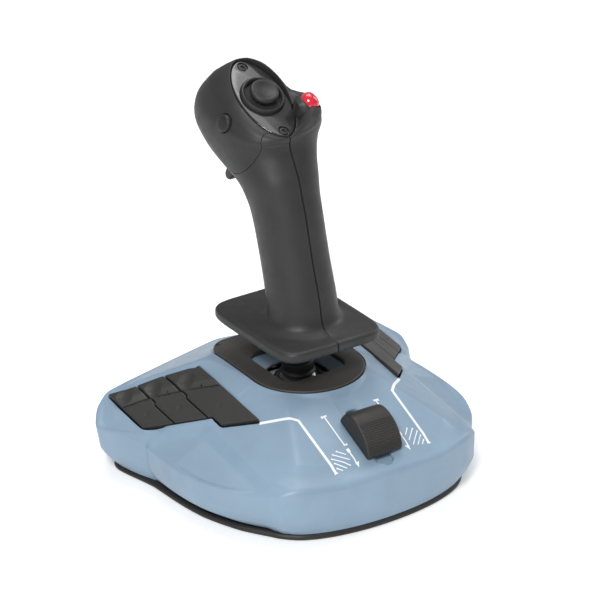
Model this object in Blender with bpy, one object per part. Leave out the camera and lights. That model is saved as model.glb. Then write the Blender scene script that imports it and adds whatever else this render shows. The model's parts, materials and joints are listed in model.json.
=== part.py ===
"""Desktop flight joystick: a wide two-winged base with a tilting, twisting grip.

Every length below is in millimetres and every angle in degrees; the mesh
helpers turn them into metres.  +X is the user's right, +Y points away from
the user, +Z is up, and z = 0 is the table under the stick's pivot.
"""

from math import atan, atan2, cos, exp, hypot, pi, radians, sin, sqrt

import bpy
from mathutils import Vector

MM = 0.001

# ---------------------------------------------------------------- base
BEZEL_TOP = 60.0            # top of the black plate round the shaft
BEZEL_THICK = 2.4
SEAT_CLEARANCE = 0.9        # shell seat stands off the bezel by this much
SHELL_WALL = 2.5            # wall of the blue top shell
SHELL_BOTTOM = 3.6          # lower edge of the blue shell
TRAY_BOTTOM = 0.0
TRAY_FLARE = 1.03           # the tray spreads past the shell at its sides
FOOT_HEIGHT = 2.4
GAP = 0.3                   # clearance between neighbours that never touch
FACET_SLOPE = 0.454         # rise per mm of the front facet, towards the bezel
WING_SLOPE = 0.56           # fall per mm of each wing, away from the middle
WING_RISE = 0.12            # rise per mm of each wing, away from the user
RECESS_BAND = 5.0           # width of the bevel down to each corner panel
RINGS_ON_TOP = 7            # rows of faces between the bezel and the rim

# ---------------------------------------------------------------- pivot
PIVOT_Z = 42.0              # centre of both tilt axes
DOME_R = 15.5               # dust dome, centred on the pivot
RING_OUTER = 20.5           # half-width of the square gimbal ring
RING_INNER = 17.0
RING_THICK = 7.0
TRUNNION_R = 3.0
AXLE_R = 2.4
CHEEK_IN = 27.2             # inner face of the bracket's cheeks
CHEEK_THICK = 4.0
SHAFT_R = 8.0
SHAFT_TOP = 120.0

# ---------------------------------------------------------------- grip
PLATE_LOW = 80.3            # hand-rest plate, underside
PLATE_HIGH = 86.4
PLATE_HALF_X = 33.2
PLATE_HALF_Y = 40.4
PLATE_MIDDLE_Y = 1.2        # the plate reaches a little further forward
PLATE_BORE_R = 10.0
GRIP_WALL = 2.2
FACE_TILT = 30.4            # slope of the head's face plate
FACE_LOW = Vector((0.0, 14.1, 190.9))      # lower screw of the face plate
FACE_MIDDLE = 23.4          # centre of the teardrop plate, up from FACE_LOW
FACE_HALF_LENGTH = 27.6
FACE_HALF_WIDTH = 14.4
HAT_ALONG = 24.5            # hat centre, measured up the plate from FACE_LOW
HAT_PIVOT_DEPTH = 4.0
RED_CENTRE = Vector((19.1, 18.0, 202.4))
RED_AXIS = Vector((0.68, -0.34, 0.65)).normalized()
SHOULDER_FROM = Vector((15.0, 17.0, 195.0))
SHOULDER_SIZE = 10.0
SHOULDER_REACH = 17.0
SIDE_CENTRE = Vector((-23.5, 35.9, 194.3))
SIDE_AXIS = Vector((-0.95, -0.08, 0.30)).normalized()
TRIGGER_PIVOT = Vector((0.0, 54.0, 172.0))
COVER_CENTRE = Vector((43.0, 182.0))
COVER_R = 27.0

# ---------------------------------------------------------------- wing buttons
CAP_GAP = 0.4               # half the gap between two caps
CAP_BELOW = 4.0
CAP_RISE_NEAR = 1.0
CAP_RISE_FAR = 3.8
COLUMN_GAPS = (61.5, 74.5)  # |x| of the gaps between the columns of caps

FACE_ALONG = Vector((0, cos(radians(FACE_TILT)), sin(radians(FACE_TILT))))
FACE_NORMAL = Vector((0, -sin(radians(FACE_TILT)), cos(radians(FACE_TILT))))
SLIDE_ALPHA = atan(0.47)
SLIDE_UP = Vector((0, cos(SLIDE_ALPHA), sin(SLIDE_ALPHA)))
SLIDE_NORMAL = Vector((0, -sin(SLIDE_ALPHA), cos(SLIDE_ALPHA)))
X_AXIS = Vector((1, 0, 0))
Y_AXIS = Vector((0, 1, 0))
Z_AXIS = Vector((0, 0, 1))
PIVOT = Vector((0, 0, PIVOT_Z))

MATERIALS = {
    "blue_shell": ((0.33, 0.44, 0.58), 0.42, 0.0),
    "charcoal": ((0.045, 0.045, 0.047), 0.55, 0.0),
    "tray_black": ((0.03, 0.03, 0.03), 0.6, 0.0),
    "gloss_black": ((0.05, 0.05, 0.05), 0.15, 0.0),
    "gloss_red": ((0.6, 0.02, 0.05), 0.12, 0.0),
    "rubber": ((0.02, 0.02, 0.02), 0.8, 0.0),
    "steel": ((0.6, 0.6, 0.62), 0.3, 1.0),
    "nylon": ((0.75, 0.74, 0.7), 0.45, 0.0),
    "circuit_board": ((0.02, 0.18, 0.07), 0.4, 0.0),
}


# ================================================================ helpers
def clear_scene():
    for obj in list(bpy.data.objects):
        bpy.data.objects.remove(obj, do_unlink=True)


def material(name):
    found = bpy.data.materials.get(name)
    if found:
        return found
    colour, roughness, metallic = MATERIALS[name]
    made = bpy.data.materials.new(name)
    made.use_nodes = True
    shader = made.node_tree.nodes["Principled BSDF"]
    shader.inputs["Base Color"].default_value = (*colour, 1.0)
    shader.inputs["Roughness"].default_value = roughness
    shader.inputs["Metallic"].default_value = metallic
    return made


def add_object(name, shape, finish, origin=(0, 0, 0), cutter=False):
    """One object from (points, faces) in world millimetres, its origin on origin."""
    points, faces = shape
    origin = Vector(origin)
    mesh = bpy.data.meshes.new(name)
    mesh.from_pydata([tuple((Vector(p) - origin) * MM) for p in points], [], faces)
    mesh.validate()
    mesh.shade_smooth()
    mesh.set_sharp_from_angle(angle=radians(35))
    obj = bpy.data.objects.new(name, mesh)
    obj.location = origin * MM
    bpy.context.scene.collection.objects.link(obj)
    if cutter:
        obj.hide_render = True
        obj.display_type = "WIRE"
    else:
        # each sub-part has a material of its own, copied from the shared finish
        own = material(finish).copy()
        own.name = name + "_" + finish
        mesh.materials.append(own)
    return obj


def boolean(target, shape, operation="DIFFERENCE"):
    tool = add_object(target.name + "_tool", shape, None, cutter=True)
    step = target.modifiers.new("boolean", "BOOLEAN")
    step.solver = "EXACT"
    step.operation = operation
    step.object = tool
    return tool


def loft(rings, closed=True):
    """A closed solid through rings of equal length, the ends capped flat."""
    count = len(rings[0])
    points = [p for ring in rings for p in ring]
    faces = []
    for row in range(len(rings) - 1):
        for k in range(count):
            a = row * count + k
            b = row * count + (k + 1) % count
            faces.append((a, b, b + count, a + count))
    if closed:
        faces.append(tuple(reversed(range(count))))
        faces.append(tuple(range(len(points) - count, len(points))))
    return points, faces


def ring_solid(rings):
    """A torus-like solid: the last ring joins the first again."""
    count = len(rings[0])
    points, faces = loft(rings, closed=False)
    last = (len(rings) - 1) * count
    for k in range(count):
        nxt = (k + 1) % count
        faces.append((last + k, last + nxt, nxt, k))
    return points, faces


def outward(shape):
    """The same shape with its faces turned outward."""
    points, faces = shape
    volume = 0.0
    for face in faces:
        a = Vector(points[face[0]])
        for i in range(1, len(face) - 1):
            b, c = Vector(points[face[i]]), Vector(points[face[i + 1]])
            volume += a.dot(b.cross(c))
    if volume < 0:
        faces = [tuple(reversed(face)) for face in faces]
    return points, faces


def frame_about(axis, side=None):
    """Two unit vectors square to axis, the first as near to side as can be."""
    axis = Vector(axis).normalized()
    side = Vector(side) if side is not None else (X_AXIS if abs(axis.x) < 0.9 else Y_AXIS)
    first = (side - axis * side.dot(axis)).normalized()
    return first, axis.cross(first)


def turned(profile, centre=(0, 0, 0), axis=Z_AXIS, segments=24):
    """A solid of revolution.  profile is (radius, height) from one end on the
    axis to the other; a radius of 0 closes the end in a point."""
    centre, axis = Vector(centre), Vector(axis).normalized()
    first, second = frame_about(axis)
    rings = []
    for radius, height in profile:
        base = centre + axis * height
        if radius == 0:
            rings.append([base])
            continue
        turn = [2 * pi * k / segments for k in range(segments)]
        rings.append([base + (first * cos(t) + second * sin(t)) * radius for t in turn])
    points, faces, start = [], [], []
    for ring in rings:
        start.append(len(points))
        points += ring
    for row in range(len(rings) - 1):
        low, high = start[row], start[row + 1]
        for k in range(segments):
            nxt = (k + 1) % segments
            if len(rings[row]) == 1:
                faces.append((low, high + nxt, high + k))
            elif len(rings[row + 1]) == 1:
                faces.append((low + k, low + nxt, high))
            else:
                faces.append((low + k, low + nxt, high + nxt, high + k))
    if len(rings[0]) > 1:
        faces.append(tuple(start[0] + k for k in reversed(range(segments))))
    if len(rings[-1]) > 1:
        faces.append(tuple(start[-1] + k for k in range(segments)))
    return outward((points, faces))


def tube_ring(profile, centre=(0, 0, 0), axis=Z_AXIS, segments=24):
    """A turned ring: a closed (radius, height) section that misses the axis."""
    centre, axis = Vector(centre), Vector(axis).normalized()
    first, second = frame_about(axis)
    turn = [2 * pi * k / segments for k in range(segments)]
    rings = []
    for radius, height in profile:
        base = centre + axis * height
        rings.append([base + (first * cos(t) + second * sin(t)) * radius for t in turn])
    return outward(ring_solid(rings))


def prism(outline, origin, u, v, low, high):
    """An outline of (u, v) points pushed along the normal u x v from low to high."""
    origin, u, v = Vector(origin), Vector(u), Vector(v)
    normal = u.cross(v).normalized()
    rings = [[origin + u * a + v * b + normal * h for a, b in outline] for h in (low, high)]
    return outward(loft(rings))


def box(low, high):
    x0, y0, z0 = low
    x1, y1, z1 = high
    return prism(((x0, y0), (x1, y0), (x1, y1), (x0, y1)), (0, 0, 0), X_AXIS, Y_AXIS, z0, z1)


def sweep(path, radius, segments=8):
    """A round bar along a list of points, with flat ends."""
    rings = []
    first = None
    for k, point in enumerate(path):
        ahead = path[min(k + 1, len(path) - 1)] - path[max(k - 1, 0)]
        first, second = frame_about(ahead, first)
        turn = [2 * pi * j / segments for j in range(segments)]
        rings.append([point + (first * cos(t) + second * sin(t)) * radius for t in turn])
    return outward(loft(rings))


def coil(centre, axis, radius, wire, length, turns, per_turn=10):
    """The wire of a helical spring."""
    centre, axis = Vector(centre), Vector(axis).normalized()
    first, second = frame_about(axis)
    path = []
    steps = int(turns * per_turn)
    for k in range(steps + 1):
        t = 2 * pi * k / per_turn
        along = length * (k / steps - 0.5)
        path.append(centre + axis * along + (first * cos(t) + second * sin(t)) * radius)
    return sweep(path, wire, 6)


def mirrored(outline, side):
    """An outline given for +X, taken to the stated side and kept anticlockwise."""
    if side > 0:
        return list(outline)
    return [(-x, y) for x, y in reversed(outline)]


def rounded(outline, radius, steps=3):
    """A polygon with each corner replaced by a short arc-like curve."""
    result = []
    count = len(outline)
    for k in range(count):
        here = Vector(outline[k])
        back = (Vector(outline[k - 1]) - here)
        ahead = (Vector(outline[(k + 1) % count]) - here)
        cut = min(radius, back.length * 0.45, ahead.length * 0.45)
        start = here + back.normalized() * cut
        end = here + ahead.normalized() * cut
        for step in range(steps + 1):
            t = step / steps
            curve = start * (1 - t) ** 2 + here * 2 * t * (1 - t) + end * t ** 2
            result.append(tuple(curve))
    return result


def smooth_step(value):
    value = min(max(value, 0.0), 1.0)
    return value * value * (3 - 2 * value)


def soft_min(values, softness):
    """The smallest value, with the creases between the others rounded off."""
    low = min(values)
    total = sum(exp((low - value) / softness) for value in values)
    return low - softness * (sqrt(total) - 1)


# ================================================================ base surface
# Rim of the blue shell: (x, y, z) of its upper edge for +X, front to rear.
RIM = (
    (0, -92, 29.2), (20, -91.6, 29.2), (38.5, -89.2, 29), (54, -84.3, 29.2),
    (64.2, -78.2, 29.7), (71.4, -70.6, 28.6), (78.8, -61.1, 28), (83.8, -53.2, 28), (89.8, -39.2, 28),
    (92.4, -27, 28), (93.6, -12, 28), (93.8, 11, 27.8), (92.4, 16.5, 27), (95, 24.8, 29),
    (100, 36, 28.5), (103, 45, 28), (100, 52, 30), (92.5, 60, 34), (78, 66, 36), (57, 72, 36),
    (24, 80, 36), (0, 84, 36),
)
# Lower edge of the blue shell, point for point with the rim.
SKIRT = (
    (0, -90.2), (18.5, -89.2), (36, -85.9), (50, -80.5), (58.8, -73.4),
    (64.4, -65.6), (70, -57.2), (74, -50), (79.5, -36.2),
    (82.4, -25.5), (84.6, -10), (86, 11), (86.6, 16), (88.5, 24.5),
    (91, 35), (92, 43), (89.5, 49.5), (83, 57), (72, 63), (54, 69),
    (23, 77), (0, 81),
)
# How full the wall is below the rim: (height, share of the rim's outline in
# front, share of it on the wings).
WALL_LEVELS = ((14.0, 0.98, 0.72), (8.5, 0.62, 0.32))
LIP_WIDTH = 5.0                # blue collar sloping down from the bezel's front
LIP_FALL = 1.45
BEZEL_FRONT = (33.0, 31.0)     # half-axes of the bezel's front curve
BEZEL_FRONT_Y = -8.0
BEZEL_REAR = 45.0


def front_facet(x, y):
    crown = 2.6 * max(0.0, 1 - (x / 31) ** 2)
    return 51.5 + FACET_SLOPE * (y + 46) + crown


def wing_plane(x, y):
    return 49.6 - WING_SLOPE * (abs(x) - 46.4) + WING_RISE * (y + 31)


def wedge_side(x, y):
    return 42.0 - 0.55 * (abs(x) - 64) + 0.175 * (y + 12)


def rear_facet(x, y):
    return 61.5 - 0.5 * (y - 38) - 0.12 * abs(x)


def corner_panel(x, y):
    return 38 - 0.40 * (abs(x) - 68) + (0.15 if y < -12 else 0.02) * (y + 12)


def inside_recess(x, y):
    """How far, in mm, a point lies inside the sunken corner panel."""
    from_crest = abs(x) - 64.3
    from_wing = (abs(x) - 64 - (y + 8)) / sqrt(2)
    return min(from_crest, from_wing)


def collar(x, y):
    """Height of the sloping collar round the front of the bezel."""
    a, b = BEZEL_FRONT
    if y < BEZEL_FRONT_Y:
        away = (hypot(x / a, (y - BEZEL_FRONT_Y) / b) - 1) * b
    elif y < 20:
        away = abs(x) - a
    else:
        away = LIP_WIDTH
    return BEZEL_TOP - LIP_FALL * max(away, 0.0) if away < LIP_WIDTH else 0.0


def top_height(x, y):
    planes = [front_facet(x, y), wing_plane(x, y), rear_facet(x, y), BEZEL_TOP]
    if y < -8:
        planes.append(wedge_side(x, y))
    height = max(soft_min(planes, 1.2), collar(x, y))
    depth = smooth_step(inside_recess(x, y) / RECESS_BAND)
    return height + (min(corner_panel(x, y), height) - height) * depth


def bezel_outline(inset=0.0, arc=7):
    """Outer edge of the bezel plate, anticlockwise from its front centre."""
    a, b = BEZEL_FRONT[0] - inset, BEZEL_FRONT[1] - inset
    right = [(a * sin(t), BEZEL_FRONT_Y - b * cos(t))
             for t in [pi / 2 * k / arc for k in range(arc + 1)]]
    rear, corner = BEZEL_REAR - inset, 14 - inset * 0.6
    right += [(a - corner * (1 - cos(t)), rear - corner * (1 - sin(t)))
              for t in [pi / 2 * k / 4 for k in range(5)]]
    left = [(-x, y) for x, y in reversed(right[1:])]
    return right + left


def full_loop(half):
    """Front-to-rear points for +X, closed by their mirror image."""
    other = [(-p[0], *p[1:]) for p in reversed(half[1:-1])]
    return list(half) + other


def denser(loop, steps):
    result = []
    for k, point in enumerate(loop):
        here, ahead = Vector(point), Vector(loop[(k + 1) % len(loop)])
        result += [tuple(here.lerp(ahead, step / steps)) for step in range(steps)]
    return result


def ray_radius(outline, angle):
    """Distance from the pivot's axis to an outline in one direction."""
    direction = Vector((cos(angle), sin(angle)))
    best = 0.0
    for k in range(len(outline)):
        a, b = Vector(outline[k][:2]), Vector(outline[(k + 1) % len(outline)][:2])
        edge = b - a
        cross = direction.x * edge.y - direction.y * edge.x
        if abs(cross) < 1e-9:
            continue
        along = (a.x * edge.y - a.y * edge.x) / cross
        on_edge = (a.x * direction.y - a.y * direction.x) / cross
        if along > 0 and -1e-6 <= on_edge <= 1 + 1e-6:
            best = max(best, along)
    return best


def shell_rings():
    """Rings of the top shell: bezel seat, top surface, wall, and the inside."""
    rim = denser(full_loop(RIM), 2)
    skirt = denser(full_loop(SKIRT), 2)
    seat = bezel_outline(-SEAT_CLEARANCE)
    hole = bezel_outline(4.0)
    seat_ring, hole_ring = [], []
    for x, y, _ in rim:
        angle = atan2(y, x)
        far, near = ray_radius(seat, angle), ray_radius(hole, angle)
        seat_ring.append((far * cos(angle), far * sin(angle)))
        hole_ring.append((near * cos(angle), near * sin(angle)))
    floor = BEZEL_TOP - BEZEL_THICK - GAP
    outer = [[(x, y, floor) for x, y in hole_ring], [(x, y, floor) for x, y in seat_ring]]
    inner = []
    for row in range(RINGS_ON_TOP):
        t = row / RINGS_ON_TOP
        ring, under = [], []
        for (sx, sy), (rx, ry, rz) in zip(seat_ring, rim):
            x, y = sx + (rx - sx) * t, sy + (ry - sy) * t
            edge = max(0.0, (t - 0.75) / 0.25)
            z = top_height(x, y)
            z += (min(z, rz + 4) - z) * edge
            ring.append((x, y, z))
            under.append((x * 0.985, y * 0.985, min(z, floor) - SHELL_WALL))
        outer.append(ring)
        if row % 2 == 0:
            inner.append(under)
    outer.append([(x, y, z) for x, y, z in rim])
    inner.append([(x * 0.965, y * 0.965, z - 2) for x, y, z in rim])
    for height, front_share, wing_share in WALL_LEVELS:
        level = []
        for (x, y, _), (sx, sy) in zip(rim, skirt):
            share = front_share + (wing_share - front_share) * smooth_step((y + 5) / 30)
            level.append((x * share + sx * (1 - share), y * share + sy * (1 - share)))
        outer.append([(x, y, height) for x, y in level])
        inner.append([(x * 0.965, y * 0.965, height) for x, y in level])
    outer.append([(x, y, SHELL_BOTTOM) for x, y in skirt])
    inner.append([(x * 0.965, y * 0.965, SHELL_BOTTOM) for x, y in skirt])
    inner[0] = [(x, y, floor - SHELL_WALL) for x, y in hole_ring]
    return outer + list(reversed(inner))


# ================================================================ wing buttons
def wing_frame(side):
    """Origin, u, v of the wing plane on one side; u x v points out of it."""
    slope = Vector((1, 0, -WING_SLOPE * side))
    rise = Vector((0, 1, WING_RISE))
    return Vector((0, 0, wing_plane(0, 0))), slope, rise


GROUP = (
    (46.2, -31), (60.3, -15.5), (60.3, -6), (61.7, -4.6), (87.2, 22.5), (87.2, 59), (76, 50),
    (64, 43), (50.5, 33), (48, 30), (46.2, 30),
)
ROW_SPLIT = ((46.0, 6.6), (60.8, 22.5), (73.7, 34.8), (88.0, 45.0))


def split_y(x):
    """The line between the near and the far row of caps."""
    for (x0, y0), (x1, y1) in zip(ROW_SPLIT, ROW_SPLIT[1:]):
        if x <= x1:
            return y0 + (y1 - y0) * (x - x0) / (x1 - x0)
    return ROW_SPLIT[-1][1]


def near_edge_y(x):
    return -4.6 + (x - 61.7) * 27.1 / 25.5


def far_edge_y(x):
    edge = ((50.5, 33), (64, 43), (76, 50), (87.2, 59))
    for (x0, y0), (x1, y1) in zip(edge, edge[1:]):
        if x <= x1:
            return y0 + (y1 - y0) * (x - x0) / (x1 - x0)
    return edge[-1][1]


def cap_outlines():
    """Outline of each cap for +X: inner, middle and outer column of both rows."""
    first, second = COLUMN_GAPS
    g = CAP_GAP
    left = 46.2
    right = 87.2
    near = {
        "inner": [(left, -31), (60.3, -15.5), (60.3, -6), (first - g, near_edge_y(first - g) + g),
                  (first - g, split_y(first - g) - g), (left, split_y(left) - g)],
        "middle": [(first + g, near_edge_y(first + g) + g),
                   (second - g, near_edge_y(second - g) + g),
                   (second - g, split_y(second - g) - g), (first + g, split_y(first + g) - g)],
        "outer": [(second + g, near_edge_y(second + g) + g), (right, near_edge_y(right) + g),
                  (right, split_y(right) - g), (second + g, split_y(second + g) - g)],
    }
    far = {
        "inner": [(left, split_y(left) + g), (first - g, split_y(first - g) + g),
                  (first - g, far_edge_y(first - g)), (50.5, 33), (48, 30), (left, 30)],
        "middle": [(first + g, split_y(first + g) + g), (second - g, split_y(second - g) + g),
                   (second - g, far_edge_y(second - g)), (64, 43),
                   (first + g, far_edge_y(first + g))],
        "outer": [(second + g, split_y(second + g) + g), (right, split_y(right) + g),
                  (right, 59), (76, 50), (second + g, far_edge_y(second + g))],
    }
    return {"near": near, "far": far}


def wing_prism(outline, side, low, high):
    """A plate on one wing: its outline in plan, pushed square to the wing."""
    origin, u, v = wing_frame(side)
    normal = u.cross(v).normalized()
    flat = mirrored(outline, side)
    rings = [[origin + u * a + v * b + normal * h for a, b in flat] for h in (low, high)]
    return outward(loft(rings))


def offset(outline, distance):
    """An anticlockwise outline moved outwards by the same distance all round."""
    result = []
    count = len(outline)
    for k in range(count):
        here = Vector(outline[k])
        back = (here - Vector(outline[k - 1])).normalized()
        ahead = (Vector(outline[(k + 1) % count]) - here).normalized()
        out_back, out_ahead = Vector((back.y, -back.x)), Vector((ahead.y, -ahead.x))
        middle = (out_back + out_ahead).normalized()
        result.append(tuple(here + middle * distance / max(middle.dot(out_ahead), 0.5)))
    return result


def scaled(outline, factor, shift=0.0):
    cx = sum(p[0] for p in outline) / len(outline)
    cy = sum(p[1] for p in outline) / len(outline)
    return [(cx + (x - cx) * factor - shift, cy + (y - cy) * factor) for x, y in outline]


def build_wing(side):
    word = "right" if side > 0 else "left"
    for row, caps in cap_outlines().items():
        rise = CAP_RISE_NEAR if row == "near" else CAP_RISE_FAR
        for column, outline in caps.items():
            shape = wing_prism(rounded(outline, 1.2, 2), side, -CAP_BELOW, rise)
            centre = sum((Vector(p) for p in shape[0]), Vector()) / len(shape[0])
            add_object(f"{word}_{row}_{column}_button", shape, "charcoal", centre)
    inner = scaled(GROUP, 0.80, 3.0)
    add_object(f"button_mat_{word}", wing_prism(inner, side, -7.6, -6.2), "rubber")
    add_object(f"button_board_{word}", wing_prism(inner, side, -9.6, -8.0), "circuit_board")


# ================================================================ base
def slope_point(along, height=0.0, x=0.0):
    """A point on the throttle's slope: along is measured up it from the knob."""
    middle = Vector((x, -70.0, front_facet(0, -70)))
    return middle + SLIDE_UP * along + SLIDE_NORMAL * height


def slope_prism(outline, low, high):
    """A block on the slope: an outline of (x, along), pushed square to it."""
    return prism(outline, slope_point(0), X_AXIS, SLIDE_UP, low, high)


FEET = {"front_left": (-42, -66), "front_right": (42, -66), "rear_left": (-70, 46),
        "rear_right": (70, 46)}
SCREWS = {"1": (-62, -44), "2": (62, -44), "3": (-40, 58), "4": (40, 58)}


def build_shell():
    shell = add_object("base_top_shell", outward(ring_solid(shell_rings())), "blue_shell")
    for side in (-1, 1):
        boolean(shell, wing_prism(offset(GROUP, 0.5), side, -12, 12))
    slot = rounded([(-5, -17.5), (5, -17.5), (5, 22), (-5, 22)], 4.5, 3)
    boolean(shell, slope_prism(slot, -9, 9))
    boolean(shell, turned([(4.4, -10), (4.4, 10)], (0, 81, 20), Y_AXIS, 16))


def build_tray():
    low = full_loop([(x * 0.995, y * 0.995) for x, y in SKIRT])
    rings = [
        [(x * TRAY_FLARE * 0.99, y * 1.005, TRAY_BOTTOM) for x, y in low],
        [(x * TRAY_FLARE, y * 1.01, TRAY_BOTTOM + 1.5) for x, y in low],
        [(x, y, SHELL_BOTTOM - GAP) for x, y in low],
        [(x * 0.93, y * 0.93, SHELL_BOTTOM - GAP) for x, y in low],
        [(x * 0.93, y * 0.93, TRAY_BOTTOM + 2.6) for x, y in low],
    ]
    tray = add_object("base_bottom_tray", outward(loft(rings)), "tray_black")
    for name, (x, y) in FEET.items():
        boolean(tray, turned([(7.3, -1), (7.3, FOOT_HEIGHT + GAP)], (x, y, 0), Z_AXIS, 20))
        add_object("foot_" + name,
                   turned([(6.4, 0), (7, 0.5), (7, FOOT_HEIGHT)], (x, y, 0), Z_AXIS, 20),
                   "rubber")
    for name, (x, y) in SCREWS.items():
        boolean(tray, turned([(3.2, -1), (3.2, 2.5), (1.7, 2.5), (1.7, 9)], (x, y, 0),
                             Z_AXIS, 12))
        add_object("base_screw_" + name,
                   turned([(2.6, 1.1), (2.9, 1.4), (2.9, 2.2), (1.35, 2.2), (1.35, 11),
                           (0.4, 12)], (x, y, 0), Z_AXIS, 12), "steel")


def build_bezel():
    top, low = BEZEL_TOP, BEZEL_TOP - BEZEL_THICK
    plate = prism(bezel_outline(0.0), (0, 0, 0), X_AXIS, Y_AXIS, low, top)
    bezel = add_object("gimbal_bezel", plate, "charcoal")
    square = rounded([(-20.5, -20.5), (20.5, -20.5), (20.5, 20.5), (-20.5, 20.5)], 8, 4)
    boolean(bezel, prism(square, (0, 0, 0), X_AXIS, Y_AXIS, low - 5, top + 5))


def square_ring(half, corner, height, steps=4):
    outline = rounded([(-half, -half), (half, -half), (half, half), (-half, half)],
                      corner, steps)
    return [(x, y, height) for x, y in outline]


def build_dish():
    rim, under = BEZEL_TOP - BEZEL_THICK - GAP, BEZEL_TOP - BEZEL_THICK - GAP - 2.0
    rings = [
        square_ring(24.5, 9, rim), square_ring(21.0, 9, rim), square_ring(16.8, 15, 52.0),
        square_ring(17.8, 16, 50.5), square_ring(22.4, 9, under), square_ring(24.5, 9, under),
    ]
    add_object("socket_dish", outward(ring_solid(rings)), "blue_shell")


def build_base_inside():
    bracket = add_object("gimbal_bracket",
                         box((-CHEEK_IN - CHEEK_THICK, -14, 4.0),
                             (CHEEK_IN + CHEEK_THICK, 14, 50)), "nylon")
    boolean(bracket, box((-CHEEK_IN, -20, 8), (CHEEK_IN, 20, 60)))
    bore = [(TRUNNION_R + GAP, -40), (TRUNNION_R + GAP, 40)]
    boolean(bracket, turned(bore, PIVOT, X_AXIS, 20))
    outside = CHEEK_IN + CHEEK_THICK + GAP
    add_object("pitch_potentiometer",
               box((outside, -7, PIVOT_Z - 8), (outside + 7, 7, PIVOT_Z + 7)), "charcoal")
    add_object("main_board", box((-30, 22, 6.5), (30, 54, 8.1)), "circuit_board")
    pot = [(-6, -11), (6, -11), (6, 26), (-6, 26)]
    add_object("slide_potentiometer", slope_prism(pot, -15.0, -10.2), "steel")
    grommet = [(4.0, -6), (4.0, 4.2), (5.2, 4.6), (5.2, 6), (3.4, 16), (2.6, 16), (2.6, -6)]
    add_object("cable_strain_relief", tube_ring(grommet, (0, 80.5, 20), Y_AXIS, 16), "rubber")
    path = [Vector((0, 58 + 3.5 * k, 20 - 0.9 * max(0, k - 11) ** 1.35)) for k in range(16)]
    add_object("usb_cable", sweep(path, 2.1, 10), "rubber")


def build_throttle():
    # the knob's side profile: (along the slope, height above it)
    profile = [(14, 2.8), (12.8, 6.5), (9.5, 9.8), (5, 11.2), (-1, 11.2), (-7, 9.6),
               (-12, 6.4), (-15, 2.6), (-15, 0.9), (2, 0.9)]
    origin = slope_point(0)
    knob = prism(profile, origin - X_AXIS * 11.5, SLIDE_UP, SLIDE_NORMAL, 0, 23)
    lever = add_object("throttle_lever", knob, "charcoal", origin)
    stem = slope_prism([(-4.2, -6), (4.2, -6), (4.2, 6), (-4.2, 6)], -5.0, 5.0)
    boolean(lever, stem, "UNION")
    carriage = [(-7.5, -8), (7.5, -8), (7.5, 8), (-7.5, 8)]
    add_object("throttle_carriage", slope_prism(carriage, -9.6, -5.3), "nylon", origin)


# ================================================================ gimbal and shaft
def build_gimbal():
    half = RING_THICK / 2
    ring = add_object("gimbal_ring",
                      box((-RING_OUTER, -RING_OUTER, PIVOT_Z - half),
                          (RING_OUTER, RING_OUTER, PIVOT_Z + half)), "nylon", PIVOT)
    reach = CHEEK_IN + CHEEK_THICK - 0.4
    boolean(ring, turned([(TRUNNION_R, -reach), (TRUNNION_R, reach)], PIVOT, X_AXIS, 20),
            "UNION")
    boolean(ring, turned([(RING_INNER, -10), (RING_INNER, 10)], PIVOT, Z_AXIS, 32))
    boolean(ring, turned([(AXLE_R + GAP, -30), (AXLE_R + GAP, 30)], PIVOT, Y_AXIS, 16))
    axle = [(AXLE_R, -RING_OUTER + 0.1), (AXLE_R, RING_OUTER + 6.5)]
    add_object("roll_axle", turned(axle, PIVOT, Y_AXIS, 16), "steel", PIVOT)
    add_object("pitch_spring", coil(PIVOT + X_AXIS * -24.4, X_AXIS, 4.3, 0.55, 3.2, 3),
               "steel", PIVOT)
    add_object("roll_spring", coil(PIVOT + Y_AXIS * 24.4, Y_AXIS, 3.8, 0.55, 3.2, 3),
               "steel", PIVOT)
    front = -RING_OUTER - GAP
    add_object("roll_potentiometer",
               box((-6, front - 5.5, PIVOT_Z - 5), (6, front, PIVOT_Z + 4)), "charcoal", PIVOT)


def build_stick():
    shaft = add_object("stick_shaft",
                       tube_ring([(SHAFT_R, PIVOT_Z), (SHAFT_R, SHAFT_TOP),
                                  (5.0, SHAFT_TOP), (5.0, PIVOT_Z)], (0, 0, 0), Z_AXIS, 28),
                       "charcoal", PIVOT)
    block = box((-8.6, -9.5, PIVOT_Z - 6), (8.6, 9.5, PIVOT_Z + 5))
    boolean(shaft, block, "UNION")
    boolean(shaft, turned([(5.0, PIVOT_Z - 9), (5.0, PIVOT_Z + 9)], (0, 0, 0), Z_AXIS, 28))
    bore = [(AXLE_R + GAP, -20), (AXLE_R + GAP, 20)]
    boolean(shaft, turned(bore, PIVOT, Y_AXIS, 16))
    section = []
    for radius, angles in ((DOME_R, (33, 48, 63, 79)), (DOME_R - 1.4, (78, 64, 50, 36))):
        section += [(radius * sin(radians(a)), radius * cos(radians(a))) for a in angles]
    dome = tube_ring(section, PIVOT, Z_AXIS, 28)
    add_object("dust_dome", dome, "gloss_black", PIVOT)
    add_object("twist_potentiometer",
               turned([(8, SHAFT_TOP + GAP), (8, SHAFT_TOP + 7), (3, SHAFT_TOP + 7),
                       (3, SHAFT_TOP + 10)], (0, 0, 0), Z_AXIS, 20), "charcoal")


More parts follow.
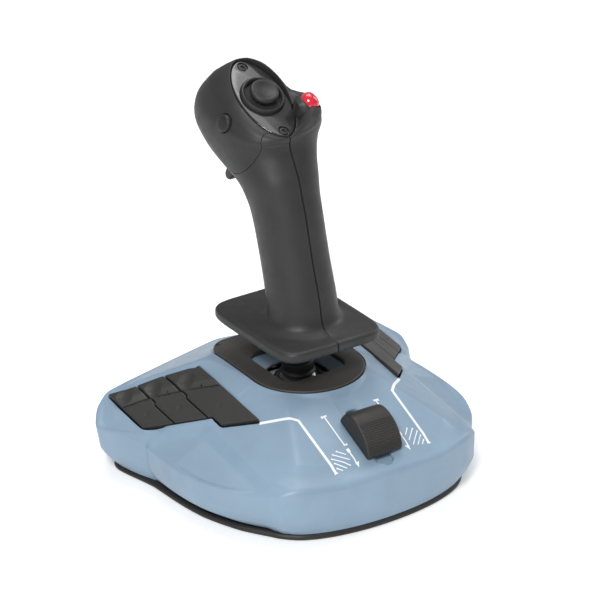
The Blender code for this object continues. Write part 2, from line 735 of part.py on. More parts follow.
# ================================================================ grip
# Sections of the grip, from the hand-rest up: rear (y, z), front (y, z) and
# half-width.  The sections fan out from the column into the head.
SECTIONS = (
    ((-29.5, 87.4), (17.5, 87.4), 25.0),
    ((-24.0, 91.0), (12.5, 91.0), 19.9),
    ((-20.6, 105.4), (16.0, 104.0), 18.9),
    ((-14.5, 124.3), (21.0, 122.0), 18.6),
    ((-7.8, 149.0), (28.0, 142.0), 18.8),
    ((-4.6, 158.0), (33.0, 151.5), 19.6),
    ((-1.8, 167.0), (42.0, 157.5), 21.3),
    ((2.6, 175.6), (55.5, 161.5), 23.4),
    ((6.0, 181.5), (70.0, 170.5), 25.0),
    ((7.6, 186.5), (81.0, 185.5), 25.4),
    ((7.0, 188.2), (80.5, 201.5), 24.4),
    ((6.9, 189.6), (70.5, 214.5), 20.5),
)
# Inside of the two topmost sections, kept under the face plate.
LINING = (
    ((11.0, 186.8), (72.0, 199.0), 19.0),
    ((12.5, 187.2), (64.0, 208.0), 16.5),
)


def half_ring(rear, front, half_width, inset, steps=14, power=2.25):
    """Half of one section, from its rear point over +X to its front point."""
    rear, front = Vector((0, *rear)), Vector((0, *front))
    middle, reach = (rear + front) / 2, (front - rear) / 2
    long_half = reach.length - inset
    wide_half = half_width - inset
    unit = reach.normalized()
    ring = []
    for k in range(steps + 1):
        t = pi * k / steps
        across = abs(sin(t)) ** (2 / power) if 0 < k < steps else 0.0
        along = -abs(cos(t)) ** (2 / power) * (1 if cos(t) > 0 else -1)
        ring.append(middle + unit * along * long_half + X_AXIS * across * wide_half)
    return ring


def plate_ring(half_x, half_y, height, steps=14):
    """Half of the hand-rest plate's outline, with the same point count."""
    ring = []
    for k in range(steps + 1):
        t = pi * k / steps
        across = abs(sin(t)) ** (2 / 6.5) if 0 < k < steps else 0.0
        along = -abs(cos(t)) ** (2 / 6.5) * (1 if cos(t) > 0 else -1)
        ring.append(Vector((half_x * across, PLATE_MIDDLE_Y + half_y * along, height)))
    return ring


def bore_ring(radius, height, steps=14):
    return [Vector((radius * sin(pi * k / steps), -radius * cos(pi * k / steps), height))
            for k in range(steps + 1)]


def face_ring(grow, height, steps=14):
    """Half of the face plate's teardrop outline, on the face plane."""
    ring = []
    for k in range(steps + 1):
        t = pi * k / steps
        along = FACE_MIDDLE - (FACE_HALF_LENGTH + grow) * cos(t)
        width = (FACE_HALF_WIDTH + grow) * abs(sin(t)) ** 1.15 if 0 < k < steps else 0.0
        ring.append(FACE_LOW + FACE_ALONG * along + X_AXIS * width + FACE_NORMAL * height)
    return ring


def shoulder(point, swell):
    """Move a point out towards the red button by up to swell."""
    away = (point - SHOULDER_FROM).length / SHOULDER_REACH
    return point + RED_AXIS * swell * exp(-away * away)


def half_shell(side):
    """One moulded half of the grip: a C-shaped section all the way up."""
    seam = GAP / 2
    outer = [plate_ring(PLATE_HALF_X - 1.5, PLATE_HALF_Y - 1.5, PLATE_LOW),
             plate_ring(PLATE_HALF_X, PLATE_HALF_Y, PLATE_LOW + 1.5),
             plate_ring(PLATE_HALF_X, PLATE_HALF_Y, PLATE_HIGH - 1.0),
             plate_ring(PLATE_HALF_X - 1.2, PLATE_HALF_Y - 1.2, PLATE_HIGH)]
    inner = [bore_ring(PLATE_BORE_R, height)
             for height in (PLATE_LOW, PLATE_LOW + 1.5, PLATE_HIGH - 1.0, PLATE_HIGH)]
    swell = SHOULDER_SIZE if side > 0 else 0.0
    for rear, front, half_width in SECTIONS:
        section = half_ring(rear, front, half_width, 0.0)
        outer.append([shoulder(p, swell) for p in section])
        section = half_ring(rear, front, half_width, GRIP_WALL)
        inner.append([shoulder(p, swell * 0.85) for p in section])
    inner[4], inner[5] = bore_ring(PLATE_BORE_R, 87.4), bore_ring(PLATE_BORE_R, 91.0)
    inner[-2:] = [half_ring(rear, front, half_width, 0.0) for rear, front, half_width in LINING]
    outer.append(face_ring(GAP + 0.2, 2.2))
    inner.append(face_ring(-2.4, -GRIP_WALL))
    outer.append(face_ring(GAP + 0.2, -0.3))
    inner.append(face_ring(-2.4, -0.3))
    rings = []
    for out, inn in zip(outer, inner):
        ring = out + list(reversed(inn))
        rings.append([Vector(((p.x + seam) * side, p.y, p.z)) for p in ring])
    return outward(loft_c(rings, len(outer[0])))


def loft_c(rings, half_count):
    """Loft of C-shaped rings, whose ends are closed by strips across the wall."""
    points, faces = loft(rings, closed=False)
    count = len(rings[0])
    for base, flip in ((0, True), ((len(rings) - 1) * count, False)):
        for k in range(half_count - 1):
            quad = (base + k, base + k + 1, base + count - 2 - k, base + count - 1 - k)
            faces.append(tuple(reversed(quad)) if flip else quad)
    return points, faces


def cover_outline(grow=0.0):
    """Side view (y, z) of the head's covers: a round rear edge, open in front."""
    arc = [COVER_CENTRE + Vector((cos(a), sin(a))) * (COVER_R + grow)
           for a in [radians(d) for d in range(152, 262, 12)]]
    return [tuple(p) for p in arc] + [(70, 140), (110, 140), (110, 240), (62, 240)]


def side_prism(outline, low, high):
    """An outline in side view (y, z), pushed along X."""
    return prism(outline, (0, 0, 0), Y_AXIS, Z_AXIS, low, high)


def build_grip():
    trigger_slot = box((-6, 44, 140), (6, 76, 176.5))
    red_bore = turned([(6.3, -9), (6.3, 9)], RED_CENTRE, RED_AXIS, 20)
    side_bore = turned([(5.5, -9), (5.5, 9)], SIDE_CENTRE, SIDE_AXIS, 20)
    for side, word in ((-1, "left"), (1, "right")):
        # everything forward of the arc is the head cover, the rest is the grip
        grip = add_object(f"grip_{word}_shell", half_shell(side), "charcoal")
        boolean(grip, side_prism(cover_outline(GAP), -60, 60))
        cover = add_object(f"head_{word}_cover", half_shell(side), "charcoal")
        boolean(cover, side_prism(cover_outline(0.0), -60, 60), "INTERSECT")
        boolean(cover, trigger_slot)
        if side > 0:
            boolean(grip, red_bore)
            boolean(cover, red_bore)
        else:
            boolean(cover, side_bore)
    hub = [(8.5, 100), (11.0, 100), (11.0, 110), (8.5, 110)]
    add_object("twist_hub", tube_ring(hub, (0, 0, 0), Z_AXIS, 28), "nylon")


def face_point(along, height=0.0, x=0.0):
    return FACE_LOW + FACE_ALONG * along + FACE_NORMAL * height + X_AXIS * x


def build_face():
    half = face_ring(0.0, 0.0)
    other = [Vector((-p.x, p.y, p.z)) for p in reversed(half[1:-1])]
    loop = half + other
    low = [p + FACE_NORMAL * 0.1 for p in loop]
    high = [p + FACE_NORMAL * 1.8 for p in loop]
    plate = add_object("hat_face_plate", outward(loft([low, high])), "gloss_black")
    hat = face_point(HAT_ALONG)
    boolean(plate, turned([(9.6, -5), (9.6, 5)], hat, FACE_NORMAL, 28))
    for along in (0.0, 46.6):
        boolean(plate, turned([(2.9, -5), (2.9, 5)], face_point(along), FACE_NORMAL, 14))
    dish = [(10.3, 2.1), (10.5, 3.8), (11.8, 4.3), (12.6, 3.4), (12.6, 2.1)]
    add_object("hat_dish", tube_ring(dish, hat, FACE_NORMAL, 28), "charcoal")
    for along, word in ((0.0, "lower"), (46.6, "upper")):
        screw = [(2.5, 1.6), (2.5, 0.4), (1.2, 0.4), (1.2, -5), (0.3, -5.6)]
        add_object(f"plate_screw_{word}",
                   turned(screw, face_point(along), FACE_NORMAL, 12), "steel")
    board = [(-9, -9), (9, -9), (9, 9), (-9, 9)]
    origin = face_point(HAT_ALONG)
    add_object("hat_switch_board",
               prism(board, origin, X_AXIS, FACE_ALONG, -13.5, -12.0), "circuit_board")


def build_hat():
    hat = face_point(HAT_ALONG)
    pivot = face_point(HAT_ALONG, -HAT_PIVOT_DEPTH)
    stem = [(2.6, -10), (6.0, -8.5), (6.0, -5.5), (2.6, -4), (2.6, 3.4)]
    add_object("hat_stem", turned(stem, hat, FACE_NORMAL, 20), "charcoal", pivot)
    cap = [(6.2, 3.8), (8.0, 4.8), (8.2, 6.6), (7.2, 7.8), (5.0, 7.4), (0, 6.6)]
    add_object("hat_cap", turned(cap, hat, FACE_NORMAL, 28), "charcoal", pivot)


def build_buttons_on_head():
    red = [(5.6, -5), (5.6, 1.2), (5.2, 3.0), (3.9, 4.6), (2.0, 5.4), (0, 5.6)]
    add_object("red_button", turned(red, RED_CENTRE, RED_AXIS, 24), "gloss_red", RED_CENTRE)
    small = [(4.9, -4), (4.9, 0.9), (4.2, 1.7), (0, 2.0)]
    add_object("side_button", turned(small, SIDE_CENTRE, SIDE_AXIS, 24), "charcoal",
               SIDE_CENTRE)
    profile = [(49.5, 176), (58, 176), (60.5, 168), (62, 158), (65.5, 151), (64.5, 147.5),
               (61, 147.5), (57, 153), (52.5, 161), (49, 168)]
    trigger = add_object("trigger", side_prism(profile, -4.6, 4.6), "charcoal",
                         TRIGGER_PIVOT)
    boolean(trigger, turned([(1.9, -12), (1.9, 12)], TRIGGER_PIVOT, X_AXIS, 14))
    add_object("trigger_pin", turned([(1.6, -9), (1.6, 9)], TRIGGER_PIVOT, X_AXIS, 14),
               "steel")


def main():
    clear_scene()
    build_shell()
    build_tray()
    build_bezel()
    build_dish()
    build_base_inside()
    for side in (-1, 1):
        build_wing(side)
    build_throttle()
    build_gimbal()
    build_stick()
    build_grip()
    build_face()
    build_hat()
    build_buttons_on_head()


main()
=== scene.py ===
"""Looks of the desktop flight joystick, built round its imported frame.

Shape helpers work in millimetres, in the frame's own axes: +X is the user's
right, +Y points away from the user and +Z is up.  Meshes are made in metres.
Every visible shell is modelled again here as a fine surface over the frame's
driving sizes; pieces inside keep the frame's solids and get finer materials.
"""
import json
from bisect import bisect
from functools import partial
from math import atan, atan2, cos, exp, hypot, pi, radians, sin, sqrt

import bmesh
import bpy
from mathutils import Matrix, Vector
from mathutils.geometry import delaunay_2d_cdt
from mathutils.kdtree import KDTree


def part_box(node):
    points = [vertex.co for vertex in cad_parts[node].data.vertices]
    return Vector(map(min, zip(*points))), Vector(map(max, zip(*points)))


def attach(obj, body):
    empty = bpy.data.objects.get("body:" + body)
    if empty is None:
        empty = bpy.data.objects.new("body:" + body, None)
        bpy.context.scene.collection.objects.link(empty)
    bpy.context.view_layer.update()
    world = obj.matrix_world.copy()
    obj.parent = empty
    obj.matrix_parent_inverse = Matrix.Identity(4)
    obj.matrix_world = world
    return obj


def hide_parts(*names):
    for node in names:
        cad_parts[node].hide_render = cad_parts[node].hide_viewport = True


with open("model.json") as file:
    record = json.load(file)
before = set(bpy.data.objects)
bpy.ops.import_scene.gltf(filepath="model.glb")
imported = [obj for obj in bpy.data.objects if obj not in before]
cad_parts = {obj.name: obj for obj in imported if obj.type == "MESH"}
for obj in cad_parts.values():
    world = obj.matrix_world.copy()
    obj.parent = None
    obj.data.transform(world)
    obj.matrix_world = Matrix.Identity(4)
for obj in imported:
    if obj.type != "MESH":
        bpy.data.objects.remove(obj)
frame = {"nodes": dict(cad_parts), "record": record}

MM = 0.001
X_AXIS, Y_AXIS, Z_AXIS = Vector((1, 0, 0)), Vector((0, 1, 0)), Vector((0, 0, 1))
SIDES = ((-1, "left"), (1, "right"))

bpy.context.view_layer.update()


def node_box(node):
    """Lowest and highest corner of a frame node, in millimetres."""
    low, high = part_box(node)
    return low / MM, high / MM


# ---------------------------------------------------------------- base sizes
BEZEL_TOP = node_box("gimbal_bezel")[1].z
BEZEL_LOW = node_box("gimbal_bezel")[0].z
TRAY_LOW = node_box("base_bottom_tray")[0].z
SHELL_BOTTOM = node_box("base_top_shell")[0].z
GAP = 0.3                      # clearance between neighbours
SHELL_WALL = 2.2
SEAT_CLEARANCE = 0.9           # the shell's seat stands off the bezel by this much
RIM_ROUNDING = 4.2             # how far in from the rim the top begins to turn down
EDGE_ROUNDING = 0.7            # fillet round every opening in the shell
FACET_SLOPE = 0.454
WING_SLOPE = 0.56
WING_RISE = 0.12
RECESS_BAND = 5.0
PANEL_SET_BACK = 0.026         # share of its radius by which a sunken panel's wall is set in
PANEL_DROP = 1.6               # and how much lower the rim is there
LIP_FALL = 1.45
BEZEL_FRONT = (33.0, 31.0)
BEZEL_FRONT_Y = -8.0
BEZEL_REAR = 45.0
GRID_PITCH = 0.95              # spacing of the points over the shell's top
CREASE = 38                    # degrees from which an edge between faces is sharp

# Rim of the blue shell and its lower edge, for +X, front to rear.
RIM = (
    (0, -92, 29.2), (20, -91.6, 29.2), (38.5, -89.2, 29), (54, -84.3, 29.2),
    (64.2, -78.2, 29.7), (71.4, -70.6, 28.6), (78.8, -61.1, 28), (83.8, -53.2, 28),
    (89.8, -39.2, 28), (92.4, -27, 28), (93.6, -12, 28), (93.8, 11, 27.8), (92.4, 16.5, 27),
    (95, 24.8, 29), (100, 36, 28.5), (103, 45, 28), (100, 52, 30), (92.5, 60, 34),
    (78, 66, 36), (57, 72, 36), (24, 80, 36), (0, 84, 36),
)
SKIRT = (
    (0, -90.2), (18.5, -89.2), (36, -85.9), (50, -80.5), (58.8, -73.4),
    (64.4, -65.6), (70, -57.2), (74, -50), (79.5, -36.2),
    (82.4, -25.5), (84.6, -10), (86, 11), (86.6, 16), (88.5, 24.5),
    (91, 35), (92, 43), (89.5, 49.5), (83, 57), (72, 63), (54, 69),
    (23, 77), (0, 81),
)
# How far the wall has come out from the lower edge to the rim: height, then the
# share at the front and along the wings.
WALL_LEVELS = ((8.5, 0.62, 0.42), (14.0, 0.98, 0.78))
RIM_ROWS = 7                   # rows of faces over the rounded rim
WALL_ROWS = 9                  # and down the outside wall
LIP_SHARE = 0.975              # the inner wall's radius as a share of the outer's
INNER_SHARE = 0.972

# The throttle's channel and slot, along the middle of the front facet.
CHANNEL_HALF = 6.2
CHANNEL_DEPTH = 0.9
CHANNEL_FRONT = -86.6
SLOT_HALF = 5.0
SLOT_FRONT = -85.8
SLOT_REAR = -50.4
SLIDE_ALPHA = atan(0.47)
SLIDE_UP = Vector((0, cos(SLIDE_ALPHA), sin(SLIDE_ALPHA)))
SLIDE_NORMAL = Vector((0, -sin(SLIDE_ALPHA), cos(SLIDE_ALPHA)))

# Wing buttons: the group's outline on +X, from the near end of its inner side
# round by its near, outer and far edges, and the line between its two rows.
GROUP_LEFT = 46.2
GROUP_RIGHT = 87.2
NEAR_STEP = ((GROUP_LEFT, -31), (60.3, -15.5), (60.3, -6))
NEAR_EDGE = ((61.7, -4.6), (GROUP_RIGHT, 22.5))
FAR_EDGE = ((50.5, 33), (64, 43), (76, 50), (GROUP_RIGHT, 59))
FAR_CORNER = ((48, 30), (GROUP_LEFT, 30))
GROUP = NEAR_STEP + NEAR_EDGE + FAR_EDGE[::-1] + FAR_CORNER
ROW_SPLIT = ((46.0, 6.6), (60.8, 22.5), (73.7, 34.8), (88.0, 45.0))
SPLIT_SLOPE = 0.95             # how steeply that line runs back as it goes out
COLUMN_GAPS = (61.5, 74.5)
CAP_GAP = 0.22
CAP_BELOW = 4.0
CAP_RISE_NEAR = 1.0
CAP_RISE_FAR = 3.5


# ================================================================ plain helpers
def smooth_step(value):
    value = min(max(value, 0.0), 1.0)
    return value * value * (3 - 2 * value)


def soft_min(values, softness):
    """The smallest value, with the creases between the others rounded off."""
    low = min(values)
    total = sum(exp((low - value) / softness) for value in values)
    return low - softness * (sqrt(total) - 1)


def piecewise(points, x):
    """Straight-line interpolation through (x, y) points."""
    for (x0, y0), (x1, y1) in zip(points, points[1:]):
        if x <= x1:
            return y0 + (y1 - y0) * (x - x0) / (x1 - x0)
    return points[-1][1]


def catmull(p0, p1, p2, p3, t):
    """A point between p1 and p2 on the smooth curve through four points."""
    return 0.5 * ((2 * p1) + (p2 - p0) * t + (2 * p0 - 5 * p1 + 4 * p2 - p3) * t * t
                  + (3 * p1 - p0 - 3 * p2 + p3) * t ** 3)


def smooth_loop(points, steps):
    """A closed smooth curve through the points."""
    vectors = [Vector(p) for p in points]
    count = len(vectors)
    result = []
    for k in range(count):
        four = [vectors[(k + j) % count] for j in (-1, 0, 1, 2)]
        result += [catmull(*four, step / steps) for step in range(steps)]
    return result


def smooth_path(points, steps):
    """An open smooth curve through the points, ends included."""
    vectors = [Vector(p) for p in points]
    vectors = [vectors[0] * 2 - vectors[1]] + vectors + [vectors[-1] * 2 - vectors[-2]]
    result = []
    for k in range(1, len(vectors) - 2):
        result += [catmull(*vectors[k - 1:k + 3], step / steps) for step in range(steps)]
    return result + [vectors[-2]]


def full_loop(half):
    """Front-to-rear points for +X, closed by their mirror image."""
    return list(half) + [(-p[0], *p[1:]) for p in reversed(half[1:-1])]


def mirrored(outline, side):
    """An outline given for +X, taken to the stated side and kept anticlockwise."""
    if side > 0:
        return list(outline)
    return [(-x, y) for x, y in reversed(outline)]


def bend(start, corner, end, steps):
    """Points from start to end on a curve that turns at the corner."""
    return [start * (1 - t) ** 2 + corner * 2 * t * (1 - t) + end * t ** 2
            for t in [step / steps for step in range(steps + 1)]]


def eased_corner(back, here, ahead, radius, steps):
    """The short curve that replaces the corner of a path at here."""
    here = Vector(here)
    back, ahead = Vector(back) - here, Vector(ahead) - here
    cut = min(radius, back.length * 0.45, ahead.length * 0.45)
    curve = bend(here + back.normalized() * cut, here, here + ahead.normalized() * cut, steps)
    return [tuple(p) for p in curve]


def rounded(outline, radius, steps=5):
    """A polygon with each corner replaced by a short curve."""
    result = []
    for k, here in enumerate(outline):
        ahead = outline[(k + 1) % len(outline)]
        result += eased_corner(outline[k - 1], here, ahead, radius, steps)
    return result


def rectangle(low, high):
    return [(low[0], low[1]), (high[0], low[1]), (high[0], high[1]), (low[0], high[1])]


def offset(outline, distance):
    """An anticlockwise outline moved outwards by the same distance all round."""
    result = []
    count = len(outline)
    for k in range(count):
        here = Vector(outline[k][:2])
        back = (here - Vector(outline[k - 1][:2])).normalized()
        ahead = (Vector(outline[(k + 1) % count][:2]) - here).normalized()
        out_back, out_ahead = Vector((back.y, -back.x)), Vector((ahead.y, -ahead.x))
        middle = (out_back + out_ahead).normalized()
        result.append(tuple(here + middle * distance / max(middle.dot(out_ahead), 0.5)))
    return result


def spaced(outline, pitch):
    """A closed outline with points added so that none are farther apart than pitch."""
    result = []
    for k, point in enumerate(outline):
        here, ahead = Vector(point), Vector(outline[(k + 1) % len(outline)])
        steps = max(1, int((ahead - here).length / pitch + 0.999))
        result += [tuple(here.lerp(ahead, step / steps)) for step in range(steps)]
    return result


def inset_ring(outline, inset, radius, pitch, steps=4):
    """A sharp outline moved inwards, then rounded; every inset has as many points."""
    moved = rounded(offset(outline, -inset), max(radius - inset, 0.25), steps)
    result = []
    for k, corner in enumerate(outline):
        result += moved[k * (steps + 1):(k + 1) * (steps + 1)]
        here, ahead = Vector(corner), Vector(outline[(k + 1) % len(outline)])
        parts = max(1, int((ahead - here).length / pitch))
        start = Vector(result[-1])
        end = Vector(moved[((k + 1) * (steps + 1)) % len(moved)])
        result += [tuple(start.lerp(end, part / parts)) for part in range(1, parts)]
    return result


def inside(outline, x, y):
    """Whether a point lies inside an outline."""
    result = False
    x0, y0 = outline[-1][:2]
    for point in outline:
        x1, y1 = point[:2]
        if (y0 > y) != (y1 > y) and x < (x1 - x0) * (y - y0) / (y1 - y0) + x0:
            result = not result
        x0, y0 = x1, y1
    return result


def circle(centre, axis, radius, segments):
    """Points of a circle round an axis."""
    axis = axis.normalized()
    side = X_AXIS if abs(axis.x) < 0.9 else Y_AXIS
    first = (side - axis * side.dot(axis)).normalized()
    second = axis.cross(first)
    turn = [2 * pi * k / segments for k in range(segments)]
    return [centre + (first * cos(t) + second * sin(t)) * radius for t in turn]


# ================================================================ mesh builder
class Shape:
    """Points in millimetres and faces, gathered ring by ring."""

    def __init__(self):
        self.points, self.faces = [], []

    def ring(self, points):
        start = len(self.points)
        self.points += [Vector(p) for p in points]
        return list(range(start, len(self.points)))

    def bridge(self, low, high):
        for k, here in enumerate(low):
            nxt = (k + 1) % len(low)
            self.faces.append((here, low[nxt], high[nxt], high[k]))

    def loft(self, rings):
        made = [self.ring(ring) for ring in rings]
        for low, high in zip(made, made[1:]):
            self.bridge(low, high)
        return made

    def cap(self, ring, reverse=False):
        self.faces.append(tuple(reversed(ring)) if reverse else tuple(ring))

    def fan(self, ring, centre):
        middle = self.ring([centre])[0]
        for k, here in enumerate(ring):
            self.faces.append((here, ring[(k + 1) % len(ring)], middle))

    def solid(self, rings):
        """Lofts the rings and closes both ends."""
        made = self.loft(rings)
        self.cap(made[0], reverse=True)
        self.cap(made[-1])
        return self

    def sheet(self, outer, holes, height, pitch):
        """Triangles between closed rings of points already made, over a grid
        whose points take their place from height(x, y)."""
        rings = [outer] + holes
        flat = [[self.points[i].to_2d() for i in ring] for ring in rings]
        border = [p for ring in flat for p in ring]
        tree = KDTree(len(border))
        for i, p in enumerate(border):
            tree.insert(p.to_3d(), i)
        tree.balance()
        xs, ys = [p.x for p in flat[0]], [p.y for p in flat[0]]
        fill, row_gap, row = [], pitch * sqrt(3) / 2, 0
        y = min(ys)
        while y < max(ys):
            x = min(xs) + (pitch / 2 if row % 2 else 0)
            while x < max(xs):
                near = tree.find((x, y, 0))[2]
                if near > pitch * 0.7 and inside(flat[0], x, y):
                    if not any(inside(hole, x, y) for hole in flat[1:]):
                        fill.append(Vector((x, y)))
                x += pitch
            y += row_gap
            row += 1
        edges, start = [], 0
        for ring in flat:
            count = len(ring)
            edges += [(start + k, start + (k + 1) % count) for k in range(count)]
            start += count
        places = border + fill
        found, _, faces, origin = delaunay_2d_cdt(places, edges, [], 0, 1e-5, True)[:4]
        known = [i for ring in rings for i in ring]
        filled = self.ring([(p.x, p.y, height(p.x, p.y)) for p in fill])
        lookup = known + filled
        index = [lookup[min(origins)] for origins in origin]
        for face in faces:
            middle = sum((found[i] for i in face), Vector((0, 0))) / 3
            if not inside(flat[0], *middle) or any(inside(h, *middle) for h in flat[1:]):
                continue
            self.faces.append(tuple(index[i] for i in face))

    def outward(self):
        """Turns every face round if the closed shape is inside out."""
        volume = 0.0
        for face in self.faces:
            a = self.points[face[0]]
            for i in range(1, len(face) - 1):
                volume += a.dot(self.points[face[i]].cross(self.points[face[i + 1]]))
        if volume < 0:
            self.faces = [tuple(reversed(face)) for face in self.faces]
        return self


def add_object(name, shape):
    mesh = bpy.data.meshes.new(name)
    mesh.from_pydata([tuple(p * MM) for p in shape.points], [], shape.faces)
    made = bpy.data.objects.new(name, mesh)
    bpy.context.scene.collection.objects.link(made)
    return made


def make(name, shape, finish, body, replaces=(), crease=CREASE):
    """A piece that rides on a body and stands for the frame nodes it replaces."""
    piece = add_object(name, shape)
    piece.data.validate()
    piece.data.shade_smooth()
    piece.data.set_sharp_from_angle(angle=radians(crease))
    piece.data.materials.append(finish_of(finish))
    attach(piece, body)
    if replaces:
        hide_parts(*replaces)
    return piece


def carve(piece, shape, operation="DIFFERENCE"):
    """Cuts a closed shape out of a piece, or keeps only what lies inside it."""
    tool = add_object("tool", shape)
    step = piece.modifiers.new("cut", "BOOLEAN")
    step.solver = "EXACT"
    step.operation = operation
    step.object = tool
    graph = bpy.context.evaluated_depsgraph_get()
    result = bpy.data.meshes.new_from_object(piece.evaluated_get(graph))
    piece.modifiers.clear()
    old, name = piece.data, piece.data.name
    piece.data = result
    bpy.data.meshes.remove(old)
    result.name = name
    result.shade_smooth()
    result.set_sharp_from_angle(angle=radians(CREASE))
    bpy.data.objects.remove(tool, do_unlink=True)


def turned(profile, centre, axis, segments=64):
    """A solid of revolution from (radius, height) points; a last radius of 0 is a pole."""
    shape = Shape()
    made = shape.loft([circle(centre + axis * height, axis, radius, segments)
                       for radius, height in profile if radius])
    shape.cap(made[0], reverse=True)
    if profile[-1][0]:
        shape.cap(made[-1])
    else:
        shape.fan(made[-1], centre + axis * profile[-1][1])
    return shape.outward()


def turned_ring(profile, centre, axis, segments=72):
    """A turned ring from a closed (radius, height) section that misses the axis."""
    shape = Shape()
    made = shape.loft([circle(centre + axis * height, axis, radius, segments)
                       for radius, height in profile])
    shape.bridge(made[-1], made[0])
    return shape.outward()


def swept(path, radius, segments=20):
    """A round bar along a path in a plane square to X."""
    rings = []
    for k, point in enumerate(path):
        run = path[min(k + 1, len(path) - 1)] - path[max(k - 1, 0)]
        rings.append(circle(point, run, radius, segments))
    return Shape().solid(rings).outward()


def pushed(outline, origin, u, v, low, high):
    """An outline of (u, v) points pushed along the normal u x v from low to high."""
    normal = u.cross(v).normalized()
    return Shape().solid([[origin + u * a + v * b + normal * h for a, b in outline]
                          for h in (low, high)]).outward()


def block(low, high):
    """A plain box shape, for cutting only."""
    return pushed(rectangle(low, high), Vector(), X_AXIS, Y_AXIS, low[2], high[2])


# ================================================================ materials
# colour, roughness, metallic, grain height in mm, grain size in mm, mottling, clear coat
FINISHES = {
    "blue": ((0.225, 0.322, 0.425), 0.46, 0.0, 0.012, 0.30, 0.05, 0.10),
    "print": ((0.80, 0.83, 0.85), 0.50, 0.0, 0.004, 0.25, 0.03, 0.0),
    "charcoal": ((0.021, 0.021, 0.0215), 0.50, 0.0, 0.014, 0.28, 0.12, 0.0),
    "cap": ((0.027, 0.026, 0.025), 0.52, 0.0, 0.012, 0.24, 0.10, 0.0),
    "bezel": ((0.048, 0.045, 0.042), 0.50, 0.0, 0.010, 0.26, 0.08, 0.0),
    "knob": ((0.020, 0.018, 0.017), 0.48, 0.0, 0.008, 0.22, 0.10, 0.0),
    "tray": ((0.016, 0.015, 0.014), 0.55, 0.0, 0.012, 0.30, 0.12, 0.0),
    "gloss": ((0.022, 0.022, 0.023), 0.16, 0.0, 0.002, 0.60, 0.08, 0.5),
    "hat": ((0.012, 0.012, 0.012), 0.50, 0.0, 0.010, 0.22, 0.10, 0.0),
    "red": ((0.62, 0.012, 0.035), 0.14, 0.0, 0.001, 0.80, 0.05, 0.8),
    "rubber": ((0.018, 0.018, 0.018), 0.78, 0.0, 0.016, 0.35, 0.15, 0.0),
    "steel": ((0.58, 0.58, 0.60), 0.30, 1.0, 0.004, 0.20, 0.06, 0.0),
    "nylon": ((0.72, 0.70, 0.65), 0.45, 0.0, 0.008, 0.40, 0.06, 0.0),
    "board": ((0.016, 0.15, 0.055), 0.38, 0.0, 0.006, 0.50, 0.20, 0.2),
}
made_finishes = {}


def finish_of(name):
    """The procedural material of one finish: a moulded grain, mottled colour,
    uneven roughness and a painted highlight that makes the edges paler."""
    if name in made_finishes:
        return made_finishes[name]
    colour, roughness, metallic, grain, grain_size, mottle, coat = FINISHES[name]
    made = bpy.data.materials.new("finish_" + name)
    made.use_nodes = True
    tree = made.node_tree
    link = tree.links.new
    shader = tree.nodes["Principled BSDF"]
    place = tree.nodes.new("ShaderNodeTexCoord").outputs["Object"]

    def add(kind, **values):
        node = tree.nodes.new("ShaderNode" + kind)
        for socket, value in values.items():
            node.inputs[socket.replace("_", " ")].default_value = value
        return node

    def noise(size, detail):
        node = add("TexNoise", Scale=1 / (size * MM), Detail=detail)
        link(place, node.inputs["Vector"])
        return node.outputs["Fac"]

    def spread(value, low, high):
        node = add("MapRange", From_Min=0.3, From_Max=0.7, To_Min=low, To_Max=high)
        link(value, node.inputs["Value"])
        return node.outputs["Result"]

    def mix(share):
        node = add("Mix", Factor=share)
        node.data_type = "RGBA"
        return node, node.inputs[6], node.inputs[7], node.outputs[2]

    tone = add("HueSaturation", Color=(*colour, 1.0))
    link(spread(noise(22.0, 3.0), 1 - mottle, 1 + mottle), tone.inputs["Value"])
    grey = add("CombineColor")
    fleck = spread(noise(grain_size * 2.2, 2.0), 1 - mottle, 1.0)
    for channel in ("Red", "Green", "Blue"):
        link(fleck, grey.inputs[channel])
    speck, under, over, specked = mix(0.6)
    speck.blend_type = "MULTIPLY"
    link(tone.outputs["Color"], under)
    link(grey.outputs["Color"], over)

    # painted highlight: convex edges are made a little paler, where light would catch them
    form = tree.nodes.new("ShaderNodeNewGeometry")
    edge = add("MapRange", From_Min=0.52, From_Max=0.62, To_Max=0.22)
    link(form.outputs["Pointiness"], edge.inputs["Value"])
    edge_highlight_mix, under, over, edge_highlit_colour = mix(0.5)
    link(edge.outputs["Result"], edge_highlight_mix.inputs["Factor"])
    link(specked, under)
    # colour of the painted edge highlight, paler than the finish
    over.default_value = (*[min(1.0, channel * 1.5 + 0.02) for channel in colour], 1.0)
    link(edge_highlit_colour, shader.inputs["Base Color"])

    link(spread(noise(6.0, 4.0), roughness - 0.05, roughness + 0.06), shader.inputs["Roughness"])
    bump = add("Bump", Strength=0.55, Distance=grain * MM)
    link(noise(grain_size, 2.0), bump.inputs["Height"])
    link(bump.outputs["Normal"], shader.inputs["Normal"])
    shader.inputs["Metallic"].default_value = metallic
    shader.inputs["Coat Weight"].default_value = coat
    shader.inputs["Coat Roughness"].default_value = 0.12
    made_finishes[name] = made
    return made


# ================================================================ base surface
# Flat facets of the shell's top, mirrored on both sides: height over a point, that
# point's x and y, and the fall outwards and rise towards the rear, per mm.
FRONT_FACET = (51.5, 0.0, -46.0, 0.0, FACET_SLOPE)
WING_FACET = (49.6, 46.4, -31.0, WING_SLOPE, WING_RISE)
WEDGE_FACET = (42.0, 64.0, -12.0, 0.55, 0.175)
REAR_FACET = (61.5, 0.0, 38.0, 0.12, -0.5)
CORNER_FACET = (36.4, 68.0, -12.0, 0.43, 0.13)
CROWN_RISE = 2.6               # the front facet's swell along the middle
CROWN_HALF = 31.0
WEDGE_REAR = -8.0
RIM_TURN = 0.75                # share of the way out at which the top turns down
RIM_SPARE = 4.0


def facet(plane, x, y):
    height, at_x, at_y, fall, rise = plane
    return height - fall * (abs(x) - at_x) + rise * (y - at_y)


